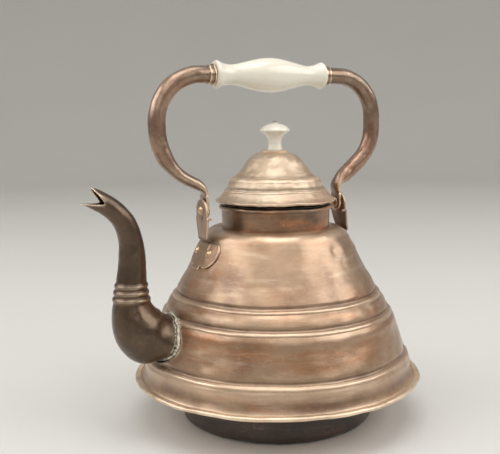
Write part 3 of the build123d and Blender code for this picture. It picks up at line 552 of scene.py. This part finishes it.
def grip_outline():
    """Outline of the grip along its rod: belly, waists and flared ends, inside the frame's grip."""
    low, high = [corner.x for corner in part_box("handle_grip")]
    side = [(12.75, 0), (12.65, 3), (12.3, 7), (11.65, 11), (10.8, 15), (9.85, 19), (8.9, 23), (8.0, 27),
            (7.45, 30), (7.3, 32), (7.4, 34), (7.75, 36.5), (8.4, 39), (9.25, 41.1), (9.95, 42.7),
            (10.15, 43.5), (10.0, 44.3), (9.5, 44.9), (8.6, 45.2), (3.1, 45.2)]
    middle, scale = (low + high) / 2, (high - low) / 90.4
    points = [(r * MM, middle + along * scale) for r, along in side]
    points = [(r, 2 * middle - along) for r, along in points[:0:-1]] + points
    return np.array(points + points[:1])


def rolled(points, creases, tuck, fall):
    """Tucks the outline in above each crease and rolls it out below, at a fall in metres."""
    for height, roll in creases:
        for place, push, width in ((height + 0.9 * MM, -tuck, 1.1 * MM), (height - fall, roll, 0.75 * fall)):
            points[:, 0] += push * bell(points[:, 1], place, width)
    return points


def turned(name, points, segments, finish):
    """Skin made by turning (radius, height) points round Z."""
    mesh = bpy.data.meshes.new(name)
    mesh.from_pydata([(r, 0, z) for r, z in points], [], [])
    return baked(with_nodes(mesh_object(name, mesh), TREES["turning"], Points=len(points), Segments=segments,
                            Finish=finish))


def turned_piece(name, node, material, step, segments, turn=UPRIGHT, corner=0.25 * MM, points=None,
                 creases=(), tuck=0.0, fall=MM):
    """A CAD node of revolution as an even skin with soft edges."""
    points = softened(outline(node, turn) if points is None else points, corner, step)
    thing = turned(name, rolled(points, creases, tuck, fall), segments, MATERIALS[material])
    thing.data.transform(turn)
    return thing


def aged(thing, material, wave=1.0, buckle=1.0, hammer=1.0):
    """Waves, buckles and planishing marks, as strong as the scene's settings times three factors."""
    shape = bpy.context.scene.kettle_shape
    with_nodes(thing, TREES["waving"], **{
        "Wave depth": shape.wave_depth * wave, "Wave size": shape.wave_size,
        "Buckle depth": shape.buckle_depth * buckle, "Buckle size": shape.buckle_size,
        "Hammer depth": shape.hammer_depth * hammer, "Hammer size": shape.hammer_size,
        "Seed": shape.seed, "Finish": MATERIALS[material]})
    return baked(thing)


def vectors_of(mesh, name):
    """A mesh's points or normals as rows of three."""
    values = np.empty(len(mesh.vertices) * 3)
    mesh.vertices.foreach_get(name, values)
    return values.reshape(-1, 3)


def points_of(mesh):
    return vectors_of(mesh, "co")


def set_points(mesh, co):
    mesh.vertices.foreach_set("co", co.ravel())
    mesh.update()


def neighbours(mesh):
    """Both ends of every edge."""
    ends = np.empty(len(mesh.edges) * 2, int)
    mesh.edges.foreach_get("vertices", ends)
    return ends.reshape(-1, 2)


def averaged(values, ends, count):
    """Mean of each point's neighbours."""
    total = np.zeros((count,) + values.shape[1:])
    number = np.zeros(count)
    for a, b in ((0, 1), (1, 0)):
        np.add.at(total, ends[:, a], values[ends[:, b]])
        np.add.at(number, ends[:, a], 1)
    number = np.maximum(number, 1)
    return total / (number[:, None] if values.ndim > 1 else number)


def relaxed(thing, times_over):
    """Moves each point half-way to the middle of its neighbours, some times over."""
    mesh = thing.data
    co, ends = points_of(mesh), neighbours(mesh)
    for _ in range(times_over):
        co = co + 0.5 * (averaged(co, ends, len(co)) - co)
    set_points(mesh, co)
    return thing


def remeshed(name, node, voxel, smooth=2):
    """A CAD node as one even skin of small faces."""
    thing = bmesh_object(name, merged(node))
    modifier = thing.modifiers.new("Remesh", "REMESH")
    modifier.mode = "VOXEL"
    modifier.voxel_size = voxel
    return relaxed(baked(thing), smooth)


def attribute(mesh, name, values):
    """Stores one number per point, from 0 to 1."""
    layer = mesh.attributes.get(name) or mesh.attributes.new(name, "FLOAT", "POINT")
    layer.data.foreach_set("value", np.clip(values, 0, 1).astype(np.float32))


# how strongly a sharp edge, a sharp hollow and a broad bend count, and from which bend on
EDGE_GAIN, HOLLOW_GAIN, BROAD_GAIN, BROAD_FROM = 2.6, 3.0, 5.0, 0.01
WEAR_FROM, GRIME_FROM = 0.10, 0.12      # weaker marks than these don't show


def worn(thing, reach=3, strength=1.0):
    """Marks raised edges as wear and hollows as grime."""
    mesh = thing.data
    mesh.update()
    co, ends = points_of(mesh), neighbours(mesh)
    lengths = np.linalg.norm(co[ends[:, 0]] - co[ends[:, 1]], axis=1)
    total, number = np.zeros(len(co)), np.zeros(len(co))
    for a in (0, 1):
        np.add.at(total, ends[:, a], lengths)
        np.add.at(number, ends[:, a], 1)
    spacing = np.maximum(total / np.maximum(number, 1), SAME_POINT)
    hollow = np.einsum("ij,ij->i", averaged(co, ends, len(co)) - co, vectors_of(mesh, "normal"))
    hollow = hollow / spacing ** 2 * MM
    for _ in range(reach):
        hollow = 0.5 * hollow + 0.5 * averaged(hollow, ends, len(co))
    broad = hollow
    for _ in range(reach * 3):
        broad = 0.5 * broad + 0.5 * averaged(broad, ends, len(co))
    for name, bend, wide, gain, least in (("wear_and_highlight", -hollow, -broad, EDGE_GAIN, WEAR_FROM),
                                          ("grime_and_shade", hollow, broad, HOLLOW_GAIN, GRIME_FROM)):
        share = bend * gain + np.maximum(wide - BROAD_FROM, 0) * BROAD_GAIN
        attribute(mesh, name, share * strength - least)
    return thing


def marked(mesh, name, share):
    """Adds to a piece's pale mark (rubbed edges and painted highlights) or dark mark (dirt and painted
    shade), whichever is named, where share is high.
    """
    values = np.empty(len(mesh.vertices), np.float32)
    mesh.attributes[name].data.foreach_get("value", values)
    attribute(mesh, name, values + share)


def creased(thing, creases, strength=1.0):
    """Painted shade under each lip and a painted highlight along each ledge."""
    height = points_of(thing.data)[:, 2] / MM
    for crease, _ in creases:
        above = height - crease / MM
        marked(thing.data, "grime_and_shade", 0.85 * strength * bell(above, 1.3, 1.0))
        marked(thing.data, "wear_and_highlight", 0.5 * strength * bell(above, -1.2, 1.1))


def smooth_shaded(thing):
    mesh = thing.data
    mesh.polygons.foreach_set("use_smooth", np.ones(len(mesh.polygons), bool))
    mesh.update()
    return thing


def kept_inside(thing, margin=0.02 * MM):
    """Holds a waved piece inside the frame's box."""
    low, high = [np.array(corner) for corner in CAD_BOX]
    set_points(thing.data, np.clip(points_of(thing.data), low + [margin, margin, 0], high - margin))
    return thing


def finished(thing, body, slot, *nodes):
    """Hands a piece over: what it rides on and the CAD nodes that it stands for; the slot is not used."""
    smooth_shaded(kept_inside(thing))
    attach(thing, body)
    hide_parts(*nodes)


def around(co, place, radius):
    """Share of each point that fades with its distance from a place, in millimetres."""
    return bell(np.linalg.norm(co / MM - np.array(place), axis=1), 0, radius)


def dented(thing, marks):
    """Pushes soft dents into a piece: each is a place, a push and a radius, in millimetres."""
    co = points_of(thing.data)
    for place, push, radius in marks:
        co += around(co, place, radius)[:, None] * np.array(push) * MM
    set_points(thing.data, co)


# knocks in the body: angle from +X in degrees, radius, height, depth and half width in millimetres
KNOCKS = ((-71, 59, 133, 1.1, 4), (-62, 59, 134, -0.7, 4), (-53, 60, 131, 1.3, 5), (-38, 66, 120, 0.9, 8),
          (-95, 92, 65, 0.8, 12), (-78, 93, 72, 0.6, 9), (-112, 80, 98, 0.5, 7), (-60, 97, 58, 0.9, 13),
          (-125, 99, 55, 0.6, 11), (-80, 57, 141, 0.6, 9), (40, 85, 88, 0.9, 15), (110, 95, 60, 0.8, 16),
          (75, 65, 130, 0.7, 11), (-100, 76, 103, 0.5, 5), (-20, 90, 76, 0.9, 12), (150, 92, 70, 0.8, 13),
          (-138, 84, 88, 0.6, 7), (-147, 95, 62, 0.8, 4), (-105, 108, 36, 0.6, 10), (-50, 107, 38, 0.7, 12),
          (-88, 82, 86, 0.6, 6), (-66, 80, 92, 0.7, 7), (-118, 70, 112, 0.4, 10), (20, 70, 120, 0.8, 9))


def body_dents():
    marks = []
    for azimuth, radius, height, depth, width in KNOCKS:
        out = np.array((cos(radians(azimuth)), sin(radians(azimuth)), 0))
        marks.append((out * radius + (0, 0, height), -depth * out, width))
    return marks


BLOOM, CRUST = 0.62, 0.64     # how much dry crust the metal beside the solder has, and the solder


def near_solder(thing, reach=2.2):
    """Marks how close each point is to the solder round the spout's root."""
    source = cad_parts["spout_solder"].data
    tree = KDTree(len(source.vertices))
    for i, v in enumerate(source.vertices):
        tree.insert(v.co, i)
    tree.balance()
    co = points_of(thing.data)
    near = np.array([tree.find(p)[2] for p in co])
    attribute(thing.data, "bloom", BLOOM * bell(near, 0, reach * MM))


def ragged(thing, least, most, size):
    """Draws a piece in along its normals by an uneven depth, in millimetres, so its edge wanders."""
    mesh = thing.data
    mesh.update()
    co = points_of(mesh)
    depth = np.array([least + (most - least) * (0.5 + noise_at(Vector(p) / (size * MM))) for p in co])
    set_points(mesh, co - vectors_of(mesh, "normal") * np.clip(depth, 0, most)[:, None] * MM)
    return thing


def pierced(thing):
    """Opens the wall behind the spout's root, along its channel."""
    middle, climb = Vector((-87, 0, 66.6)) * MM, radians(28)
    high, wide, deep = 17 * MM, 19.9 * MM, 24 * MM
    cutter = bmesh.new()
    bmesh.ops.create_cone(cutter, cap_ends=True, segments=64, radius1=1, radius2=1, depth=1)
    placed = (Matrix.Translation(middle) @ Matrix.Rotation(climb - pi / 2, 4, "Y")
              @ Matrix.Diagonal((high, wide, deep, 1)))
    bmesh.ops.transform(cutter, matrix=placed, verts=cutter.verts)
    channel = bmesh_object("channel", cutter)
    modifier = thing.modifiers.new("Channel", "BOOLEAN")
    modifier.operation, modifier.solver, modifier.object = "DIFFERENCE", "EXACT", channel
    baked(thing)
    bpy.data.objects.remove(channel)


def dome(radius, rise, steps=10):
    """Points (radius, height) over a round cap, from its rim to its top."""
    ball = (radius ** 2 + rise ** 2) / (2 * rise)
    return [(radius * t, sqrt(ball ** 2 - (radius * t) ** 2) - ball + rise) for t in np.linspace(1, 0, steps)]


def rivet_mesh(name, radius, length, head, tail):
    """Rivet along -Z, in millimetres: head and tail are each a radius and a rise."""
    points = [(r, -length - z) for r, z in dome(*tail)[::-1]] + [(radius, -length), (radius, 0)] + dome(*head)
    points = softened(np.array(points) * MM, 0.15 * MM, 0.35 * MM)
    return turned(name, points, 40, MATERIALS["rivet"])


def riveting_tree():
    """Sets a rivet at each point, facing along its attribute, each struck a little differently."""
    tree = bpy.data.node_groups.new("Rivets", "GeometryNodeTree")
    given = tree_inputs(tree, ("Places", "NodeSocketGeometry", None), ("Rivet", "NodeSocketObject", None),
                        ("Tilt", "NodeSocketFloat", 0.05), ("Seed", "NodeSocketInt", 7),
                        ("Finish", "NodeSocketMaterial", None))
    shape = add(tree, "GeometryNodeObjectInfo", {"Object": given["Rivet"]}, "Geometry")
    facing = add(tree, "GeometryNodeInputNamedAttribute", {"Name": "facing"}, data_type="FLOAT_VECTOR")
    straight = add(tree, "FunctionNodeAlignRotationToVector", {"Vector": facing}, axis="Z")
    low = add(tree, "ShaderNodeMath", (given["Tilt"], -1.0), operation="MULTIPLY")
    lean = [add(tree, "FunctionNodeRandomValue", {
        "Min": low, "Max": given["Tilt"], "Seed": given["Seed"], "ID": k}, 1, data_type="FLOAT")
        for k in (1, 2)]
    turn = add(tree, "ShaderNodeCombineXYZ", lean)
    rotated = add(tree, "FunctionNodeRotateRotation", (straight, turn), rotation_space="LOCAL")
    size = add(tree, "FunctionNodeRandomValue", {"Min": 0.95, "Max": 1.0, "Seed": given["Seed"]}, 1,
               data_type="FLOAT")
    set_down = add(tree, "GeometryNodeInstanceOnPoints", {"Points": given["Places"], "Instance": shape,
                                                          "Rotation": rotated, "Scale": size})
    return closing(tree, set_down, given["Finish"])


def riveted(name, rivet, places, tilt):
    """One mesh of like rivets: each place is a point and the way it faces, in millimetres."""
    mesh = bpy.data.meshes.new(name)
    mesh.from_pydata([Vector(point) * MM for point, _ in places], [], [])
    layer = mesh.attributes.new("facing", "FLOAT_VECTOR", "POINT")
    layer.data.foreach_set("vector", [c for _, facing in places for c in facing])
    thing = with_nodes(mesh_object(name, mesh), TREES["riveting"], Rivet=rivet, Tilt=tilt,
                       Finish=MATERIALS["rivet"])
    baked(thing)
    bpy.data.objects.remove(rivet)
    return thing


# ---- Operators ----

class KETTLE_OT_body(bpy.types.Operator):
    """Body, rim, sunken base and neck, turned from sheet"""
    bl_idname = "kettle.body"
    bl_label = "Body"

    def execute(self, context):
        # piece, CAD node, material, slot, distance between points, segments, strength of wear, which on the
        # rim paints a highlight along its edge
        pieces = (("copper_body_shell", "body_shell", "body", "copper_body", 2.0 * MM, 210, 1.0),
                  ("folded_rim", "base_flange", "rim", "copper_body", 0.8 * MM, 270, 1.8),
                  ("drum_base", "sunken_base", "base", "sooty_base", 1.6 * MM, 200, 1.0),
                  ("neck_ring", "neck_collar", "neck", "copper_body", 0.7 * MM, 220, 1.0))
        for name, node, material, slot, step, segments, wear_and_highlight in pieces:
            creases = BODY_CREASES if node == "body_shell" else ()
            thing = turned_piece(name, node, material, step, segments, creases=creases, tuck=0.8 * MM,
                                 fall=6 * MM)
            if node == "body_shell":
                pierced(thing)
            aged(thing, material)
            dented(thing, body_dents())
            worn(thing, strength=wear_and_highlight)
            creased(thing, creases)
            height = points_of(thing.data)[:, 2] / MM
            for kind, middle, width, share in BANDS.get(node, ()):
                marked(thing.data, kind, share * bell(height, middle, width))
            near_solder(thing)
            finished(thing, "kettle", slot, node)
        return {"FINISHED"}


class KETTLE_OT_spout(bpy.types.Operator):
    """Swan-neck spout and the solder round its root"""
    bl_idname = "kettle.spout"
    bl_label = "Spout"

    def execute(self, context):
        spout = aged(remeshed("swan_neck_spout", "spout", 0.6 * MM, 2), "spout", 0.9, 0.8)
        low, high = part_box("spout")
        lip, top = low.x / MM, high.z / MM
        dented(spout, [((lip, 0, 168.5), (-1.3, 0, 1.0), 6), ((-131, 0, 170), (3.0, 0, 0), 3.5),
                       ((lip + 8, 0, top), (-1.2, 0, 0.5), 7)])
        worn(spout, 4, 0.45)
        near_solder(spout, 1.2)
        finished(spout, "kettle", "copper_spout", "spout")
        solder = ragged(remeshed("solder_seam", "spout_solder", 0.45 * MM, 1), 0.5, 1.3, 4.0)
        aged(solder, "solder", 1.0, 1.0, 3.0)
        worn(solder)
        attribute(solder.data, "bloom", np.full(len(solder.data.vertices), CRUST))
        finished(solder, "kettle", "soft_solder", "spout_solder")
        return {"FINISHED"}


class KETTLE_OT_ears(bpy.types.Operator):
    """Folded ears that carry the handle"""
    bl_idname = "kettle.ears"
    bl_label = "Ears"

    def execute(self, context):
        for side in ("front", "rear"):
            ear = aged(remeshed(f"{side}_folded_ear", f"{side}_ear", 0.35 * MM, 2), "ear", 0.8, 1.0, 1.5)
            dented(ear, [(PIT, (1.3, 0, 0), 1.6)])
            worn(ear, 3, 0.35)
            co = points_of(ear.data)
            y, z = co[:, 1] / MM, co[:, 2] / MM
            # a painted shadow along the strap's fold and painted shade in the bitten pit; the rear ear is
            # darkened all over, the front a little
            fold_shadow_and_pit_shade = bell(z, FOLD_Z, 1.7) + around(co, PIT, 1.7)
            between_lobes = bell(z, 134, 5, 4) * bell(y, 0, 9.5, 4)
            marked(ear.data, "grime_and_shade", 1.5 * fold_shadow_and_pit_shade + (0.45 if side == "rear" else 0.1))
            marked(ear.data, "wear_and_highlight", -0.8 * between_lobes)
            finished(ear, "kettle", "copper_ear", f"{side}_ear")
        return {"FINISHED"}


class KETTLE_OT_handle(bpy.types.Operator):
    """Bent tubes, ferrules and the porcelain grip"""
    bl_idname = "kettle.handle"
    bl_label = "Handle"

    def execute(self, context):
        for side in ("front", "rear"):
            arm = aged(remeshed(f"{side}_bent_tube", f"{side}_handle_arm", 0.6 * MM, 3), "tube", 0.6, 0.8)
            worn(arm, 4, 0.8)
            finished(arm, "handle", "copper_tube", f"{side}_handle_arm")
            cap = turned_piece(f"{side}_grip_cap", f"{side}_ferrule", "tube", 0.4 * MM, 96, lying(GRIP_Z),
                               0.8 * MM)
            worn(aged(cap, "tube", 0.6))
            finished(cap, "handle", "copper_tube", f"{side}_ferrule")
        grip = turned_piece("porcelain_grip", "handle_grip", "porcelain", 0.8 * MM, 120, lying(GRIP_Z),
                            0.5 * MM, points=grip_outline())
        worn(grip, 6)
        finished(grip, "grip", "white_porcelain", "handle_grip")
        return {"FINISHED"}


class KETTLE_OT_lid(bpy.types.Operator):
    """Spun lid, its sleeve, rosette and porcelain knob"""
    bl_idname = "kettle.lid"
    bl_label = "Lid"

    def execute(self, context):
        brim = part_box("lid_dome")[0].z
        # piece, CAD node, material, slot, distance between points, segments, creases, hammer marks
        pieces = (("spun_lid", "lid_dome", "lid", "copper_lid", 0.75 * MM, 216, LID_CREASES, 3.6),
                  ("tinned_sleeve", "lid_sleeve", "sleeve", "tinned_sleeve", 0.8 * MM, 220, (), 2.0),
                  ("knob_rosette", "lid_rosette", "lid", "copper_lid", 0.5 * MM, 120, (), 2.0))
        for name, node, material, slot, step, segments, above_brim, hammer in pieces:
            creases = [(brim + rise, roll) for rise, roll in above_brim]
            thing = turned_piece(name, node, material, step, segments, creases=creases, tuck=0.6 * MM,
                                 fall=3.4 * MM)
            aged(thing, material, 0.9, 1.1, hammer)
            worn(thing, strength=1.5)
            creased(thing, creases, 0.42)
            finished(thing, "lid", slot, node)
        knob = turned_piece("porcelain_knob", "lid_knob", "porcelain", 0.5 * MM, 112, corner=0.4 * MM,
                            points=knob_outline())
        worn(knob, 6)
        finished(knob, "lid", "white_porcelain", "lid_knob")
        return {"FINISHED"}


class KETTLE_OT_rivets(bpy.types.Operator):
    """Rivets of the ears and of the handle's pivots, with the washers behind them"""
    bl_idname = "kettle.rivets"
    bl_label = "Rivets"

    def execute(self, context):
        tilt = atan(LEAN)
        places = []
        for end in (-1, 1):
            for across in (-LOBE_RIVET_Y, LOBE_RIVET_Y):
                reach = sqrt(LOBE_R ** 2 - across ** 2)
                facing = Vector((end * reach * cos(tilt) / LOBE_R, across * cos(tilt) / LOBE_R, sin(tilt)))
                places.append((Vector((end * reach, across, LOBE_Z)) + facing * SHEET, facing))
        lobes = riveted("lobe_rivets", rivet_mesh("lobe_rivet", 1.6, 2.6, (3.0, 1.7), (2.7, 1.1)),
                        places, 0.06)
        worn(aged(lobes, "rivet", 0.8, 1.0, 2.0))
        finished(lobes, "kettle", "rivet_copper", "front_ear_rivets", "rear_ear_rivets")
        places = [((x, 0, PIVOT_Z / MM), (out, 0, 0)) for x, out in zip(PIN_HEADS_X, (-1, 1))]
        pins = riveted("pivot_rivets", rivet_mesh("pivot_rivet", 1.8, 5.1, (3.4, 2.0), (3.0, 1.1)),
                       places, 0.0)
        worn(aged(pins, "rivet", 0.8, 1.0, 2.0))
        finished(pins, "kettle", "rivet_copper", "front_pivot_rivet", "rear_pivot_rivet")
        for side in ("front", "rear"):
            washer = turned_piece(f"{side}_ring_washer", f"{side}_pivot_washer", "rivet", 0.3 * MM, 60,
                                  lying(PIVOT_Z), 0.2 * MM)
            worn(aged(washer, "rivet", 0.8, 1.0, 1.0))
            finished(washer, "kettle", "rivet_copper", f"{side}_pivot_washer")
        return {"FINISHED"}


class KETTLE_OT_fittings(bpy.types.Operator):
    """Screw, nut, wire and rod"""
    bl_idname = "kettle.fittings"
    bl_label = "Fittings"

    def execute(self, context):
        kept = {"neck_rim_wire": "iron", "front_tube_plug": "iron", "rear_tube_plug": "iron",
                "grip_rod": "iron", "lid_nut": "steel", "lid_washer": "steel", "lid_screw": "steel"}
        for node, material in kept.items():
            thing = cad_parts[node]
            for place in thing.material_slots:
                place.material = MATERIALS[material]
        return {"FINISHED"}


# name, angle from +X and height in degrees, distance, width and height in metres, share of the key light
LAMPS = (("front_softbox", -117, 36, 1.9, 1.5, 1.2, 0.7),
         ("side_softbox", -42, 34, 1.9, 1.8, 1.2, 1.75),
         ("left_softbox", 168, 34, 1.9, 1.8, 1.2, 1.7),
         ("top_softbox", -117, 78, 1.7, 1.2, 1.2, 1.9))
KETTLE_MIDDLE = (0, 0, 0.13)
FLOOR_FLAT, SWEEP_R, FLOOR_TOP = 2.4, 1.2, 1.4           # metres
FLOOR_CLOUD = 0.4                                        # metres across
WALLS_END, SKY_STARTS = radians(28), radians(50)         # heights above the horizon
LENS, SENSOR = 56.645, 36.0                              # millimetres
CAMERA_PLACE = (-0.27671196, -0.53155873, 0.22632781)
CAMERA_TURN = (82.31412, 0.69570, -25.72230)             # degrees


class KETTLE_OT_stage(bpy.types.Operator):
    """Floor that sweeps up all round, soft light and the camera"""
    bl_idname = "kettle.stage"
    bl_label = "Stage"

    def execute(self, context):
        stage = context.scene.kettle_stage
        material, tree = new_material("pale_studio_floor")
        coords = add(tree, "ShaderNodeTexCoord", output="Object")
        clouds = add(tree, "ShaderNodeTexNoise", (coords, 0.0, 1 / FLOOR_CLOUD, 2, 0.5), **NOISE)
        cloudy = add(tree, "ShaderNodeMapRange", (clouds, 0.3, 0.7, 0.0, 0.3), **EASED)
        color = add(tree, "ShaderNodeMix", {0: cloudy, 6: hue(stage.floor), 7: hue(stage.floor, 0.94)}, 2,
                    **TINTED)
        shader = add(tree, "ShaderNodeBsdfPrincipled", {"Base Color": color, "Roughness": 0.6})
        add(tree, "ShaderNodeOutputMaterial", {"Surface": shader})
        sweep = [(FLOOR_FLAT + SWEEP_R * sin(a), SWEEP_R * (1 - cos(a)))
                 for a in np.linspace(0.1, pi / 2, 12)]
        profile = [(0.0, 0.0), (FLOOR_FLAT, 0.0), *sweep, (FLOOR_FLAT + SWEEP_R, FLOOR_TOP)]
        floor = smooth_shaded(turned("studio_floor", profile, 96, material))
        for name, azimuth, rise, distance, width, height, share in LAMPS:
            lamp = bpy.data.lights.new(name, "AREA")
            lamp.shape, lamp.size, lamp.size_y = "RECTANGLE", width, height
            lamp.energy = pi * width * height * stage.key * share
            thing = bpy.data.objects.new(name, lamp)
            a, e = radians(azimuth), radians(rise)
            out = Vector((cos(a) * cos(e), sin(a) * cos(e), sin(e)))
            thing.location = Vector(KETTLE_MIDDLE) + out * distance
            thing.rotation_euler = (-out).to_track_quat("-Z", "Y").to_euler()
            context.scene.collection.objects.link(thing)
        world = bpy.data.worlds.new("even_studio_light")
        world.use_nodes = True
        tree = world.node_tree
        tree.nodes.clear()
        toward = add(tree, "ShaderNodeTexCoord", output="Generated")
        up = add(tree, "ShaderNodeSeparateXYZ", (toward,), "Z")
        limits = (sin(WALLS_END), sin(SKY_STARTS), stage.walls, stage.sky)
        strength = add(tree, "ShaderNodeMapRange", (up, *limits), **EASED)
        even = add(tree, "ShaderNodeBackground", {"Color": hue(linear("#f6f3ee")), "Strength": strength})
        add(tree, "ShaderNodeOutputWorld", {"Surface": even})
        context.scene.world = world
        lens = bpy.data.cameras.new("camera")
        lens.lens, lens.sensor_width, lens.sensor_fit = LENS, SENSOR, "HORIZONTAL"
        lens.clip_start, lens.clip_end = 0.01, 50.0
        camera = bpy.data.objects.new("camera", lens)
        camera.location = CAMERA_PLACE
        camera.rotation_euler = [radians(a) for a in CAMERA_TURN]
        context.scene.collection.objects.link(camera)
        context.scene.camera = camera
        context.scene.view_settings.view_transform = "Standard"
        return {"FINISHED"}


OPERATORS = (KETTLE_OT_stage, KETTLE_OT_body, KETTLE_OT_spout, KETTLE_OT_ears, KETTLE_OT_rivets,
             KETTLE_OT_handle, KETTLE_OT_lid, KETTLE_OT_fittings)
GROUPS = {"kettle_finish": KettleFinish, "kettle_shape": KettleShape, "kettle_stage": KettleStage}


class KETTLE_PT_panel(bpy.types.Panel):
    """Lists the kettle's settings and pieces in the sidebar"""
    bl_idname = "KETTLE_PT_panel"
    bl_label = "Kettle"
    bl_space_type = "VIEW_3D"
    bl_region_type = "UI"
    bl_category = "Kettle"

    def draw(self, context):
        for group, kind in GROUPS.items():
            box = self.layout.box()
            for name in kind.__annotations__:
                box.prop(getattr(context.scene, group), name)
        for operator in OPERATORS:
            self.layout.operator(operator.bl_idname)


def register():
    for kind in (*GROUPS.values(), *OPERATORS, KETTLE_PT_panel):
        bpy.utils.register_class(kind)
    for name, kind in GROUPS.items():
        setattr(bpy.types.Scene, name, bpy.props.PointerProperty(type=kind))


def unregister():
    for name in GROUPS:
        delattr(bpy.types.Scene, name)
    for kind in (KETTLE_PT_panel, *OPERATORS[::-1], *GROUPS.values()):
        bpy.utils.unregister_class(kind)


def main():
    register()
    make_materials()
    TREES.update(turning=turning_tree(), waving=waving_tree(), riveting=riveting_tree())
    for operator in OPERATORS:
        getattr(bpy.ops.kettle, operator.bl_idname.split(".")[1])()


if __name__ == "__main__":
    main()
